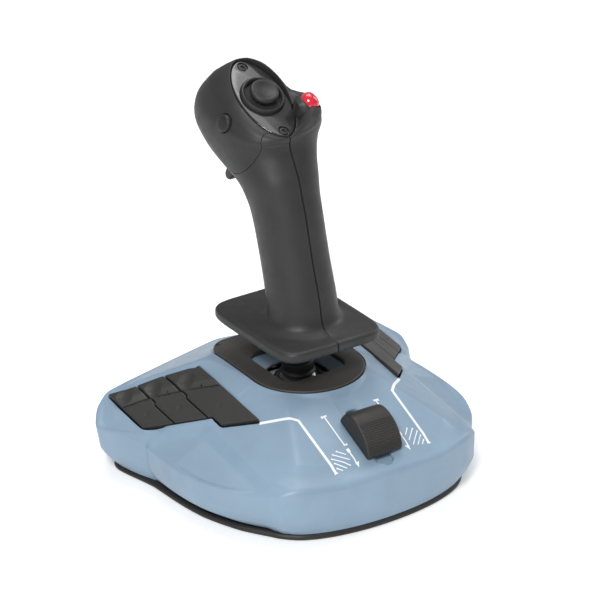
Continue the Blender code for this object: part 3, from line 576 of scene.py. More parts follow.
def front_facet(x, y):
    return facet(FRONT_FACET, x, y) + CROWN_RISE * max(0.0, 1 - (x / CROWN_HALF) ** 2)


def recess_share(x, y):
    """0 outside the sunken corner panel, 1 on its floor, a soft bevel between."""
    from_crest = abs(x) - 64.3
    from_wing = (abs(x) - 64 - (y + 5.5)) / sqrt(2)
    share = soft_min((from_crest, from_wing), 0.5) / RECESS_BAND
    return min(max(share, 0.0), 1.0)


def collar(x, y):
    """Height of the sloping collar round the front of the bezel."""
    a, b = BEZEL_FRONT
    if y < BEZEL_FRONT_Y:
        away = (hypot(x / a, (y - BEZEL_FRONT_Y) / b) - 1) * b
    else:
        away = abs(x) - a + max(0.0, y) * 0.35 + max(0.0, y - 12) * 1.5
    return BEZEL_TOP - LIP_FALL * max(away - 0.5, 0.0)


def by_angle(outline):
    """A star-shaped outline's distance from the pivot's axis, and its height,
    in each direction."""
    table = sorted((atan2(p[1], p[0]), hypot(p[0], p[1]), p[2] if len(p) > 2 else 0.0)
                   for p in outline)
    first, last = table[0], table[-1]
    table = [(last[0] - 2 * pi, *last[1:])] + table + [(first[0] + 2 * pi, *first[1:])]
    angles = [row[0] for row in table]

    def look(angle):
        k = min(max(bisect(angles, angle), 1), len(table) - 1)
        (a0, r0, z0), (a1, r1, z1) = table[k - 1], table[k]
        t = (angle - a0) / max(a1 - a0, 1e-9)
        return r0 + (r1 - r0) * t, z0 + (z1 - z0) * t

    return look


def rim_limit(x, y, z):
    """Brings the top down towards the rim over its outer quarter."""
    angle, away = atan2(y, x), hypot(x, y)
    rim, rim_z = RIM_AT(angle)
    seat = SEAT_AT(angle)[0]
    share = (away - seat) / (rim - seat)
    edge = min(max((share - RIM_TURN) / (1 - RIM_TURN), 0.0), 1.0)
    return z + (min(z, rim_z + RIM_SPARE) - z) * edge


def plain_top(x, y):
    """The shell's top surface without the throttle's channel."""
    planes = [front_facet(x, y), facet(WING_FACET, x, y), facet(REAR_FACET, x, y), BEZEL_TOP]
    if y < WEDGE_REAR:
        planes.append(facet(WEDGE_FACET, x, y))
    low = soft_min(planes, 0.9)
    height = -soft_min((-low, -collar(x, y)), 0.35)
    depth = recess_share(x, y)
    sunken = facet(CORNER_FACET, x, min(y, CORNER_FACET[2]))
    height += (min(sunken, height) - height) * depth
    return rim_limit(x, y, height)


def top_height(x, y):
    """The shell's top surface: facets, collar, sunken panels and the channel."""
    height = plain_top(x, y)
    if y > BEZEL_FRONT_Y or abs(x) > CHANNEL_HALF + 2:
        return min(height, BEZEL_TOP)
    across = smooth_step((CHANNEL_HALF + 0.35 - abs(x)) / 0.7)
    end = smooth_step((BEZEL_FRONT_Y - BEZEL_FRONT[1] - 1.2 - y) / 2.5)
    if y < SLOT_FRONT + CHANNEL_HALF:
        reach = hypot(x, y - (CHANNEL_FRONT + CHANNEL_HALF))
        across = smooth_step((CHANNEL_HALF + 0.35 - reach) / 0.7)
        end = 1.0
    hollow = CHANNEL_DEPTH + 0.35 * (1 - (x / CHANNEL_HALF) ** 2)
    return min(height, BEZEL_TOP) - hollow * across * end


def bezel_outline(inset=0.0, arc=24):
    """Outer edge of the bezel plate, anticlockwise from its front centre."""
    a, b = BEZEL_FRONT[0] - inset, BEZEL_FRONT[1] - inset
    right = [(a * sin(t), BEZEL_FRONT_Y - b * cos(t))
             for t in [pi / 2 * k / arc for k in range(arc + 1)]]
    rear, corner = BEZEL_REAR - inset, 14 - inset * 0.6
    right += [(a - corner * (1 - cos(t)), rear - corner * (1 - sin(t)))
              for t in [pi / 2 * k / 8 for k in range(9)]]
    left = [(-x, y) for x, y in reversed(right[1:])]
    return spaced(right + left, 2.0)


RIM_AT = by_angle(smooth_loop(full_loop(RIM), 6))
SEAT_AT = by_angle(bezel_outline(-SEAT_CLEARANCE))


def fillet(radius, steps=5):
    """(distance out from the edge, drop) pairs round a quarter circle."""
    return [(radius * (1 - sin(t)), radius * (1 - cos(t)))
            for t in [pi / 2 * k / steps for k in range(steps + 1)]]


def wing_axes(side):
    """u, v and outward normal of one wing."""
    u, v = Vector((1, 0, -WING_SLOPE * side)), Vector((0, 1, WING_RISE))
    return u, v, u.cross(v).normalized()


def wing_point(side, a, b, h=0.0):
    u, v, normal = wing_axes(side)
    return Vector((0, 0, facet(WING_FACET, 0, 0))) + u * a + v * b + normal * h


def slot_outline():
    box = rectangle((-SLOT_HALF, SLOT_FRONT), (SLOT_HALF, SLOT_REAR))
    return spaced(rounded(box, 4.5, 8), 1.5)


def opening(shape, outline, down, depth):
    """A filleted opening in the shell's top: returns the sheet's ring and the
    ring where the inner skin meets the opening's wall."""
    rings = [[Vector((x, y, top_height(x, y) - drop)) for x, y in offset(outline, out)]
             for out, drop in fillet(EDGE_ROUNDING, 4)]
    rings += [[p - down * share for p in rings[-1]] for share in (depth * 0.5, depth)]
    made = shape.loft(rings)
    return made[0], made[-1]


def rim_insets(rim):
    """How far in from each rim point the rounding starts, kept clear of the
    button openings."""
    keep_clear = offset(GROUP, 2.6)
    insets = []
    for p in rim:
        inward = -Vector((p.x, p.y, 0)).normalized()
        reach = RIM_ROUNDING
        while reach > 1.0:
            start = p + inward * reach
            if not inside(keep_clear, abs(start.x), start.y):
                break
            reach -= 0.3
        insets.append(reach)
    count = len(insets)
    for _ in range(3):
        insets = [min(insets[k], (insets[k - 1] + insets[k] + insets[(k + 1) % count]) / 3)
                  for k in range(count)]
    return insets


def set_back(point, rim_point):
    """Moves a point of the outside wall in, where a sunken panel meets the rim."""
    share = 1 - PANEL_SET_BACK * recess_share(rim_point.x, rim_point.y)
    lowered = PANEL_DROP * (1 - share) / PANEL_SET_BACK
    return Vector((point.x * share, point.y * share, point.z - lowered))


def outside_wall():
    """Rings of the shell's outside: the top's edge, the rounded rim and the wall."""
    rim = smooth_loop(full_loop(RIM), 6)
    skirt = smooth_loop([(*p, 0) for p in full_loop(SKIRT)], 6)
    rim = [set_back(p, p) for p in rim]
    skirt = [set_back(s, p) for s, p in zip(skirt, rim)]
    edge, rows = [], [[] for _ in range(RIM_ROWS)]
    for p, reach in zip(rim, rim_insets(rim)):
        start = p - Vector((p.x, p.y, 0)).normalized() * reach
        start.z = top_height(start.x, start.y)
        level = start.z + (top_height(p.x, p.y) - start.z) * 0.9
        corner = Vector((p.x, p.y, max(level, p.z + 1.0)))
        edge.append(start)
        for row, place in zip(rows, bend(start, corner, Vector(p), RIM_ROWS)[1:]):
            row.append(place)
    wall = []
    for level in range(1, WALL_ROWS + 1):
        ring = []
        for p, s, end in zip(rim, skirt, rows[-1]):
            z = end.z + (SHELL_BOTTOM - end.z) * level / WALL_ROWS
            blend = smooth_step((p.y + 5) / 30)
            levels = [(SHELL_BOTTOM, 0.0)]
            levels += [(height, front + (wing - front) * blend)
                       for height, front, wing in WALL_LEVELS]
            place = Vector(s).lerp(p, piecewise([*levels, (end.z, 1.0)], z))
            ring.append(Vector((place.x, place.y, z)))
        wall.append(ring)
    return edge, rows, wall


def drawn_in(ring, share):
    return [Vector((p.x * share, p.y * share, p.z)) for p in ring]


def seat_rings(seat):
    """The bezel's seat: a filleted edge, its wall, a ledge and the ledge's underside."""
    floor = BEZEL_LOW - GAP
    rings = [[Vector((x, y, min(top_height(x, y), BEZEL_TOP) - drop)) for x, y in offset(seat, out)]
             for out, drop in fillet(0.5, 4)]
    ledge = offset(seat, -(SEAT_CLEARANCE + 4.0))
    for outline, z in ((seat, floor), (ledge, floor), (ledge, floor - SHELL_WALL),
                       (offset(seat, 1.5), floor - SHELL_WALL)):
        rings.append([Vector((x, y, z)) for x, y in outline])
    return rings


def build_top_shell():
    """The blue shell: its outside, its inside, and the openings in its top."""
    shape = Shape()
    edge, rows, wall = outside_wall()
    edge_ring = shape.ring(edge)
    outside = shape.loft(rows + wall)
    shape.bridge(edge_ring, outside[0])
    indoors = shape.loft([drawn_in(wall[-1], LIP_SHARE)]
                         + [drawn_in(ring, INNER_SHARE) for ring in (wall[5], wall[2], rows[-1])]
                         + [[p - Z_AXIS * SHELL_WALL for p in edge]])
    shape.bridge(outside[-1], indoors[0])
    holes = [opening(shape, spaced(rounded(offset(mirrored(GROUP, side), 0.5), 2.2, 6), 2.0),
                     wing_axes(side)[2], SHELL_WALL) for side, _ in SIDES]
    holes.append(opening(shape, slot_outline(), SLIDE_NORMAL, SHELL_WALL))
    seat = shape.loft(seat_rings(bezel_outline(-SEAT_CLEARANCE)))
    holes.append((seat[0], seat[-1]))
    shape.sheet(edge_ring, [top for top, _ in holes], top_height, GRID_PITCH)
    shape.sheet(indoors[-1], [low for _, low in holes],
                lambda x, y: top_height(x, y) - SHELL_WALL, GRID_PITCH * 3)
    make("top_shell", consistent(shape), "blue", "base", ["base_top_shell"], crease=50)


def consistent(shape):
    """Turns all faces of a closed shape to agree with each other, facing out."""
    mesh = bmesh.new()
    points = [mesh.verts.new(p) for p in shape.points]
    for face in shape.faces:
        if len(set(face)) == len(face) and len(face) > 2:
            try:
                mesh.faces.new([points[i] for i in face])
            except ValueError:
                continue
    bmesh.ops.recalc_face_normals(mesh, faces=mesh.faces)
    mesh.verts.index_update()
    shape.faces = [tuple(v.index for v in face.verts) for face in mesh.faces]
    mesh.free()
    return shape


# ================================================================ bezel, dish, tray
OPENING_HALF = 20.5
OPENING_CORNER = 8.0


def square_loop(half, corner):
    """A rounded square about the pivot's axis."""
    return rounded(rectangle((-half, -half), (half, half)), corner, 10)


def build_bezel():
    """The black plate round the stick, with a rounded edge and square opening."""
    shape = Shape()
    outline = bezel_outline()
    mouth = spaced(square_loop(OPENING_HALF, OPENING_CORNER), 1.6)
    outer = [[(x, y, BEZEL_LOW) for x, y in outline]]
    for out, drop in reversed(fillet(0.8)):
        outer.append([(x, y, BEZEL_TOP - drop) for x, y in offset(outline, -out)])
    inner = [[(x, y, BEZEL_LOW) for x, y in mouth]]
    for out, drop in reversed(fillet(1.1)):
        inner.append([(x, y, BEZEL_TOP - drop) for x, y in offset(mouth, out)])
    outer_rings, inner_rings = shape.loft(outer), shape.loft(inner)
    shape.sheet(outer_rings[-1], [inner_rings[-1]], lambda x, y: BEZEL_TOP, 4.0)
    shape.sheet(outer_rings[0], [inner_rings[0]], lambda x, y: BEZEL_LOW, 8.0)
    make("bezel_plate", consistent(shape), "bezel", "base", ["gimbal_bezel"])


def build_dish():
    """The blue well that the bezel's opening looks into."""
    rim, shape = BEZEL_LOW - GAP, Shape()
    deep = node_box("socket_dish")[0].z
    levels = (
        (24.5, 9, rim), (21.2, 9, rim), (20.8, 9, rim - 0.3), (18.6, 12, rim - 3.4),
        (17.2, 14.5, deep + 1.7), (16.8, 15, deep + 1.2), (17.0, 15, deep), (17.9, 15, deep),
        (22.4, 9, rim - 2.0), (24.5, 9, rim - 2.0),
    )
    made = shape.loft([[(x, y, z) for x, y in square_loop(half, corner)]
                       for half, corner, z in levels])
    shape.bridge(made[-1], made[0])
    make("socket_well", consistent(shape), "blue", "base", ["socket_dish"], crease=30)


def tray_outline(stretch, grow):
    loop = smooth_loop([(*p, 0) for p in full_loop(SKIRT)], 6)
    return [(p.x * stretch, p.y * grow) for p in loop]


TRAY_FLARE = 1.008
FEET = {name: node_box("foot_" + name) for name in
        ("front_left", "front_right", "rear_left", "rear_right")}


def build_tray():
    """The black bottom tray: a flared, rounded edge and a floor with wells for the feet and screws.
    """
    low, top = TRAY_LOW, SHELL_BOTTOM - GAP
    shape = Shape()
    profile = (
        (TRAY_FLARE - 0.030, 0.985, low), (TRAY_FLARE - 0.012, 0.9975, low),
        (TRAY_FLARE - 0.005, 1.003, low + 0.25), (TRAY_FLARE, 1.006, low + 0.9),
        (TRAY_FLARE, 1.006, low + 1.5), (TRAY_FLARE - 0.004, 1.004, low + 2.1),
        (TRAY_FLARE - 0.015, 1.0, low + 2.7), (0.998, 0.998, top - 0.2),
        (0.994, 0.994, top), (0.93, 0.93, top), (0.93, 0.93, low + 2.6),
    )
    rings = [[(x, y, z) for x, y in tray_outline(stretch, grow)]
             for stretch, grow, z in profile]
    made = shape.loft(rings)
    holes = []
    for place in list(FEET.values()) + [node_box(f"base_screw_{k}") for k in range(1, 5)]:
        centre = (place[0] + place[1]) / 2
        radius = (place[1] - place[0]).x / 2 + GAP
        depth = min(place[1].z - low + GAP, 2.5)
        hole = shape.loft([circle(Vector((centre.x, centre.y, low + up)), Z_AXIS, radius + out, 36)
                           for out, up in ((0.4, 0.0), (0.1, 0.1), (0.0, 0.4), (0.0, depth))])
        shape.fan(hole[-1], (centre.x, centre.y, low + depth))
        holes.append(hole[0])
    shape.sheet(made[0], holes, lambda x, y: low, 6.0)
    shape.sheet(made[-1], [], lambda x, y: low + 2.6, 6.0)
    make("bottom_tray", consistent(shape), "tray", "base", ["base_bottom_tray"], crease=40)


# ================================================================ wing buttons
def split_y(x):
    return piecewise(ROW_SPLIT, x)


def cap_outlines():
    """Outline of each cap for +X, by row and column.  In the near row the gaps
    between the columns jog sideways near the split."""
    g, jog, turn = CAP_GAP, 0.5, 5.0
    first, second = COLUMN_GAPS

    def jogged(gap, side):
        """One side of a near gap, from the split down to the near edge."""
        x, top, low = gap + side * g, split_y(gap), piecewise(NEAR_EDGE, gap)
        return [(x - jog, top - g), (x - jog, top - turn),
                (x + jog * 1.4, top - turn - 1.2), (x + jog * 1.4, low + g)]

    def far_front(left, right):
        return [(left, split_y(left) + g), (right, split_y(right) + g)]

    def far_back(x):
        return x, piecewise(FAR_EDGE, x)

    left, right = GROUP_LEFT, GROUP_RIGHT
    near = {
        "inner": [*NEAR_STEP, *reversed(jogged(first, -1)), (left, split_y(left) - g)],
        "middle": [*jogged(first, 1), *reversed(jogged(second, -1))],
        "outer": [*jogged(second, 1), (right, NEAR_EDGE[1][1] + g), (right, split_y(right) - g)],
    }
    far = {
        "inner": [*far_front(left, first - g), far_back(first - g), FAR_EDGE[0], *FAR_CORNER],
        "middle": [*far_front(first + g, second - g), far_back(second - g), FAR_EDGE[1],
                   far_back(first + g)],
        "outer": [*far_front(second + g, right), FAR_EDGE[3], FAR_EDGE[2], far_back(second + g)],
    }
    return {"near": near, "far": far}


DIMPLES = {"inner": (55.9, 25.6), "middle": (70.2, 37.6), "outer": (81.9, 48.4)}
NEAR_MARKS = {"inner": (54.0, -4.0), "middle": (68.0, 15.0), "outer": (81.0, 28.0)}
DIMPLE_R = 5.1
DIMPLE_DEPTH = 1.6
CAP_SLOPE_RUN = 3.6            # how far back the raised caps' sloping front reaches
CAP_FALL = 0.2                 # fall of a raised cap per mm behind that
CORNER_ROUNDING = 0.8


def far_height(column, a, b):
    """Height of a raised cap over the wing: a sloping front, a crown and a dimple."""
    back = (b - split_y(a)) * cos(atan(SPLIT_SLOPE))
    share = back / CAP_SLOPE_RUN
    front = -soft_min((-share, 0.0), 0.06) if back < 0 else soft_min((share, 1.0), 0.12)
    rise = CAP_RISE_NEAR - 0.6 + (CAP_RISE_FAR - CAP_RISE_NEAR + 0.2) * front
    rise -= CAP_FALL * max(0.0, back - 3.5)
    cx, cy = DIMPLES[column]
    away = hypot(a - cx, b - cy) / DIMPLE_R
    return rise - DIMPLE_DEPTH * (1 - min(away, 1.0) ** 2)


def near_height(column, a, b):
    """Height of a low cap: flat, with one small sunk mark."""
    cx, cy = NEAR_MARKS[column]
    away = max(abs(a - cx), abs(b - cy) * 1.4)
    return CAP_RISE_NEAR - 0.3 * smooth_step((0.95 - away) / 0.4)


def build_cap(name, outline, side, height, round_by, pitch):
    """One button cap: straight sides, a rounded upper edge and a modelled top."""
    shape = Shape()
    sharp = mirrored(outline, side)

    def lifted(ring, drop):
        return [wing_point(side, a, b, height(abs(a), b) - drop) for a, b in ring]

    rings = [[wing_point(side, a, b, -CAP_BELOW)
              for a, b in inset_ring(sharp, 0.0, CORNER_ROUNDING, 1.2)]]
    for out, drop in reversed(fillet(round_by, 4)):
        rings.append(lifted(inset_ring(sharp, out, CORNER_ROUNDING, 1.2), drop))
    made = shape.loft(rings)
    shape.cap(made[0], reverse=True)
    normal = wing_axes(side)[2]

    def top(x, y):
        """The top over a plan point, which the cap's own lean shifts a little."""
        a, b, h = x, y, 0.0
        for _ in range(3):
            h = height(abs(a), b)
            a, b = x - normal.x * h, y - normal.y * h
        return wing_point(side, a, b, h).z

    shape.sheet(made[-1], [], top, pitch)
    make(name + "_cap", consistent(shape), "cap", name, [name], crease=50)


def build_wing_buttons():
    kinds = {"near": (near_height, 0.6, 0.8), "far": (far_height, 1.1, 0.55)}
    for side, word in SIDES:
        for row, caps in cap_outlines().items():
            height, round_by, pitch = kinds[row]
            for column, outline in caps.items():
                build_cap(f"{word}_{row}_{column}_button", outline, side,
                          partial(height, column), round_by, pitch)


# ================================================================ throttle
KNOB_HALF = 11.5
KNOB_PROFILE = ((15.2, 1.2), (15.1, 3.4), (14.0, 6.6), (11.4, 9.4), (7.4, 11.2), (2.2, 11.7),
                (-3.5, 10.7), (-8.8, 8.2), (-12.4, 4.8), (-13.7, 2.4), (-13.8, 1.2))
RIDGE_PITCH = 1.25
RIDGE_DEPTH = 0.34
RIDGES_FROM = 0.50             # share of the knob's curve where the ridges begin


def slope_point(along, height=0.0, x=0.0):
    """A point on the throttle's slope: along is measured up it from the knob."""
    return Vector((x, -70.0, front_facet(0, -70))) + SLIDE_UP * along + SLIDE_NORMAL * height


def knob_place(x, inset, share, run, point, normal):
    """A point of the knob's skin: ribs dug across its near part, sides swelling a little."""
    teeth = 0.5 - 0.5 * cos(2 * pi * run / RIDGE_PITCH)
    teeth *= smooth_step((share - RIDGES_FROM) / 0.03) * smooth_step((0.97 - share) / 0.02)
    teeth *= smooth_step((KNOB_HALF - 0.5 - abs(x)) / 0.6)
    swell = 0.25 * (1 - (x / KNOB_HALF) ** 2) * smooth_step(share * 4) * smooth_step(4 - share * 4)
    place = point - normal * (inset + RIDGE_DEPTH * teeth - swell)
    return slope_point(place.x, max(place.y, 1.0), x)


def build_throttle():
    """The slider's knob, an arched grip ribbed across its near half, with its stem
    and the shutter that keeps the slot closed."""
    curve = smooth_path([(*p, 0) for p in KNOB_PROFILE], 30)
    runs = [0.0]
    for here, ahead in zip(curve, curve[1:]):
        runs.append(runs[-1] + (ahead - here).length)
    middle = Vector((0, 3.5, 0))
    normals = []
    for k, point in enumerate(curve):
        along = (curve[min(k + 1, len(curve) - 1)] - curve[max(k - 1, 0)]).normalized()
        normal = Vector((-along.y, along.x, 0))
        normals.append(normal if normal.dot(point - middle) >= 0 else -normal)
    edges = [(-KNOB_HALF + x, inset) for x, inset in
             ((0.0, 1.3), (0.1, 0.85), (0.4, 0.4), (0.9, 0.1), (1.5, 0.0))]
    slices = edges + [(-8 + 4 * k, 0.0) for k in range(5)]
    slices += [(-x, inset) for x, inset in reversed(edges)]
    rings = []
    for x, inset in slices:
        ring = [knob_place(x, inset, run / runs[-1], run, point, normal)
                for run, point, normal in zip(runs, curve, normals)]
        ring.append(slope_point(curve[-1].x + inset, 0.9, x))
        ring.append(slope_point(curve[0].x - inset, 0.9, x))
        rings.append(ring)
    make("throttle_knob", consistent(Shape().solid(rings)), "knob", "throttle",
         ["throttle_lever"], crease=50)
    for name, half_x, half_y, corner, low, high, finish in (
            ("throttle_stem", 3.4, 4.5, (1.5, 4), -5.0, 1.6, "tray"),
            ("throttle_shutter", 7, 20, (3.0, 6), -4.0, -3.4, "blue")):
        outline = rounded(rectangle((-half_x, -half_y), (half_x, half_y)), *corner)
        make(name, pushed(outline, slope_point(0), X_AXIS, SLIDE_UP, low, high), finish,
             "throttle")


# ================================================================ printed lines
LINE_THICK = 0.07
LINE_SUNK = 0.05


def strip(shape, path, width, step=1.0):
    """A thin printed line over the shell along a path of plan points."""
    points = [Vector(p) for p in path]
    dense = []
    for here, ahead in zip(points, points[1:]):
        steps = max(1, int((ahead - here).length / step))
        dense += [here.lerp(ahead, k / steps) for k in range(steps)]
    dense.append(points[-1])
    rows = []
    for k, point in enumerate(dense):
        back = point - dense[max(k - 1, 0)]
        ahead = dense[min(k + 1, len(dense) - 1)] - point
        back, ahead = (back or ahead).normalized(), (ahead or back).normalized()
        run = (back + ahead).normalized()
        across = Vector((run.y, -run.x)) * width / 2 / max(run.dot(ahead), 0.6)
        row = []
        for place in (point - across, point, point + across):
            z = top_height(*place)
            row.append(((*place, z - LINE_SUNK), (*place, z + LINE_THICK)))
        rows.append(row)
    rings = [[row[0][0], row[0][1], row[1][1], row[2][1], row[2][0], row[1][0]] for row in rows]
    shape.solid(rings)


def patch(shape, corners):
    """A thin printed polygon over the shell."""
    shape.solid([[(x, y, top_height(x, y) + up) for x, y in corners]
                 for up in (-LINE_SUNK, LINE_THICK)])


FRAME_LINE = ((46.6, -31.8), (31.1, -46.2), (30.6, -81.5))
BRACKET_X = 17.1
BRACKET_Y = (-50.2, -69.5)
HATCHING = (
    ((19.6, -74.6), (23.6, -70.6)), ((19.6, -78.0), (26.6, -71.4)), ((20.6, -80.6), (28.4, -73.4)),
    ((23.4, -81.0), (28.6, -76.2)), ((26.2, -81.2), (28.8, -78.8)),
)


def build_print():
    """The white lines beside the throttle: a frame, a travel bracket with an
    arrow and a hatched patch on each side."""
    for side, word in SIDES:
        shape = Shape()
        strip(shape, [(x * side, y) for x, y in FRAME_LINE], 1.5)
        x, (top, low) = BRACKET_X * side, BRACKET_Y
        strip(shape, [(x, top), (x, low)], 0.75)
        strip(shape, [(x - 1.5 * side, top), (x + 1.9 * side, top)], 1.0)
        strip(shape, [(x + 0.3 * side, low), (x - 1.8 * side, low)], 0.75)
        strip(shape, [(x, low - 3.4), (x, low - 11.6)], 0.75)
        patch(shape, [(x + s * side, y) for s, y in
                      ((-0.9, low - 2.4), (0.9, low - 2.4), (0.9, low - 4.6), (-0.9, low - 4.6))])
        patch(shape, [(x + s * side, y) for s, y in
                      ((0.0, low - 13.6), (-2.0, low - 10.6), (0.4, low - 11.2))])
        for start, end in HATCHING:
            strip(shape, [(start[0] * side, start[1]), (end[0] * side, end[1])], 0.5)
        make(f"printed_lines_{word}", consistent(shape), "print", "base", crease=60)


# ================================================================ stick and well
PIVOT = Vector((0, 0, 42.0))
DOME_R = 15.5
SHAFT_R = 8.0


def build_stick():
    """The polished dome that keeps dust out of the well, and the collar round the stick's tube."""
    outer = [(DOME_R * sin(radians(a)), DOME_R * cos(radians(a))) for a in range(33, 80, 3)]
    inner = [((DOME_R - 1.3) * sin(radians(a)), (DOME_R - 1.3) * cos(radians(a)))
             for a in range(78, 34, -4)]
    make("dome", turned_ring(outer + inner, PIVOT, Z_AXIS), "gloss", "stick", ["dust_dome"])
    low = DOME_R * cos(radians(33)) - 0.3
    collar_ring = [(SHAFT_R + 0.05, low + 6.0), (SHAFT_R + 0.7, low + 5.6),
                   (SHAFT_R + 1.0, low + 4.6), (SHAFT_R + 1.1, low + 1.2),
                   (SHAFT_R + 1.8, low + 0.5), (SHAFT_R + 2.2, low - 0.4),
                   (SHAFT_R + 0.05, low - 0.4)]
    make("stick_collar", turned_ring(collar_ring, PIVOT, Z_AXIS), "charcoal", "stick")


# ================================================================ grip
PLATE_LOW = node_box("grip_left_shell")[0].z
PLATE_HIGH = PLATE_LOW + 6.1
PLATE_HALF_X = node_box("grip_right_shell")[1].x - GAP / 2
PLATE_HALF_Y = 40.4
PLATE_MIDDLE_Y = node_box("grip_left_shell")[0].y + PLATE_HALF_Y
PLATE_BORE_R = 10.0
GRIP_WALL = 2.2
FACE_TILT = 30.4
FACE_LOW = Vector((0.0, 14.1, 190.9))
FACE_MIDDLE = 23.4
FACE_HALF_LENGTH = 27.6
FACE_HALF_WIDTH = 14.4
HAT_ALONG = 24.5
SCREW_ALONG = (0.0, 46.6)
FACE_ALONG = Vector((0, cos(radians(FACE_TILT)), sin(radians(FACE_TILT))))
FACE_NORMAL = Vector((0, -sin(radians(FACE_TILT)), cos(radians(FACE_TILT))))
RED_CENTRE = Vector((19.1, 18.0, 202.4))
RED_AXIS = Vector((0.68, -0.34, 0.65)).normalized()
SHOULDER_FROM = Vector((15.0, 17.0, 195.0))
SHOULDER_SIZE = 10.0
SHOULDER_REACH = 17.0
SHOULDER_TOP = Vector((18.0, 22.0, 198.0))
SHOULDER_LIFT = 4.5
SHOULDER_TOP_REACH = 13.0
RIDGE_MIDDLE = Vector((14.5, 18.5, 199.0))
RIDGE_SIZE = 7.5
RIDGE_REACH = 8.0
BOSS_HEIGHT = 0.6             # rim of the red button's mouth over its centre
MOUNT_FOOT = Vector((17.5, 21.5, 190.5))
MOUNT_FOOT_AXIS = Vector((0.25, -0.3, 0.92))
MOUNT_FOOT_R = 6.3
SIDE_CENTRE = Vector((-23.5, 35.9, 194.3))
SIDE_AXIS = Vector((-0.95, -0.08, 0.30)).normalized()
TRIGGER_PIVOT = Vector((0.0, 54.0, 172.0))
COVER_CENTRE = Vector((31.2, 186.6))
COVER_R = 19.0

# Sections of the grip, from the hand-rest up: rear (y, z), front (y, z), half-width.
SECTIONS = (
    ((-29.5, 87.4), (17.5, 87.4), 25.0),
    ((-24.0, 91.0), (12.5, 91.0), 19.9),
    ((-20.6, 105.4), (16.0, 104.0), 18.9),
    ((-14.5, 124.3), (21.0, 122.0), 18.6),
    ((-7.8, 149.0), (28.0, 142.0), 18.8),
    ((-4.6, 158.0), (33.0, 151.5), 19.6),
    ((-1.8, 167.0), (40.0, 159.5), 21.2),
    ((2.6, 175.6), (53.0, 165.0), 23.2),
    ((6.0, 181.5), (68.5, 173.0), 24.7),
    ((7.6, 186.5), (81.0, 185.5), 25.4),
    ((7.0, 188.2), (79.6, 199.5), 24.4),
    ((6.9, 189.6), (69.2, 211.8), 20.8),
)
HALF_STEPS = 36                # faces across one half of a section
ROW_STEPS = 5                  # rows of faces between two sections
SEAM_HALF = 0.52               # half-width and depth of the notch along the seam
SEAM_DEPTH = 1.3
SPLIT_HALF = 0.015             # half of the air between the two mouldings
RIM_TOP = 2.0                  # the head's rim over the face
RIM_RAISE = 3.0                # and how much higher its right side stands


def superellipse(t, power):
    """Across and along shares of a half outline at angle t, rear to front."""
    across = abs(sin(t)) ** (2 / power)
    along = -abs(cos(t)) ** (2 / power) * (1 if cos(t) > 0 else -1)
    return across, along


def half_turns():
    return [pi * k / HALF_STEPS for k in range(HALF_STEPS + 1)]


def half_ring(rear, front, half_width, inset=0.0, power=2.25):
    """Half of one section, from its rear point over +X to its front point."""
    rear, front = Vector((0, *rear)), Vector((0, *front))
    middle, reach = (rear + front) / 2, (front - rear) / 2
    unit = reach.normalized()
    ring = []
    for t in half_turns():
        across, along = superellipse(t, power)
        ring.append(middle + unit * along * (reach.length - inset)
                    + X_AXIS * across * (half_width - inset))
    return ring


def plate_ring(inset, height):
    """Half of the hand-rest plate's outline, with the same point count."""
    ring = []
    for t in half_turns():
        across, along = superellipse(t, 6.5)
        ring.append(Vector(((PLATE_HALF_X - inset) * across,
                            PLATE_MIDDLE_Y + (PLATE_HALF_Y - inset) * along, height)))
    return ring


def face_point(along, height=0.0, x=0.0):
    return FACE_LOW + FACE_ALONG * along + FACE_NORMAL * height + X_AXIS * x


def face_ring(grow, height_at):
    """Half of the face plate's teardrop outline, at a height over the face."""
    ring = []
    for t in half_turns():
        along = FACE_MIDDLE - (FACE_HALF_LENGTH + grow) * cos(t)
        width = (FACE_HALF_WIDTH + grow) * abs(sin(t)) ** 1.15
        ring.append(face_point(along, height_at(along, width), width))
    return ring


def mirrored_half(half):
    """The points of a half ring between its ends, taken back on the other side."""
    return [Vector((-p.x, p.y, p.z)) for p in reversed(half[1:-1])]


def whole_ring(right, left):
    """A closed ring from two halves, notched where their mouldings meet."""
    rear, front = right[0], right[-1]
    inward = (front - rear).normalized() * SEAM_DEPTH
    beside = X_AXIS * SEAM_HALF
    return ([rear + inward, rear + beside] + right[1:-1]
            + [front + beside, front - inward, front - beside]
            + mirrored_half(left) + [rear - beside])


def shoulder(point):
    """Moves a point on the right of the head out towards the red button."""
    away = (point - SHOULDER_FROM).length / SHOULDER_REACH
    swell = SHOULDER_SIZE * exp(-away * away)
    near = (point - SHOULDER_TOP).length / SHOULDER_TOP_REACH
    lift = SHOULDER_LIFT * exp(-near * near)
    return boss(point + (RED_AXIS * swell + Z_AXIS * lift) * smooth_step(point.x / 7))


def boss(point):
    """Raises the head's surface round the red button to the button's mouth."""
    height = (point - RED_CENTRE).dot(RED_AXIS)
    out = (point - RED_CENTRE - RED_AXIS * height).length
    rise = max(0.0, BOSS_HEIGHT - height) * (1 - smooth_step((out - 7.5) / 9))
    rise *= smooth_step((height + 11) / 6) * smooth_step(point.x / 7)
    return point + RED_AXIS * rise


def smooth_sections():
    """The sections with smooth rows of others between them."""
    flat = [(*rear, *front, half) for rear, front, half in SECTIONS]
    rows = []
    padded = [flat[0]] + flat + [flat[-1]]
    for k in range(1, len(padded) - 2):
        for step in range(ROW_STEPS):
            t = step / ROW_STEPS
            rows.append([catmull(*[padded[k + j][i] for j in (-1, 0, 1, 2)], t)
                         for i in range(5)])
    rows.append(list(flat[-1]))
    return [((a, b), (c, d), half) for a, b, c, d, half in rows]


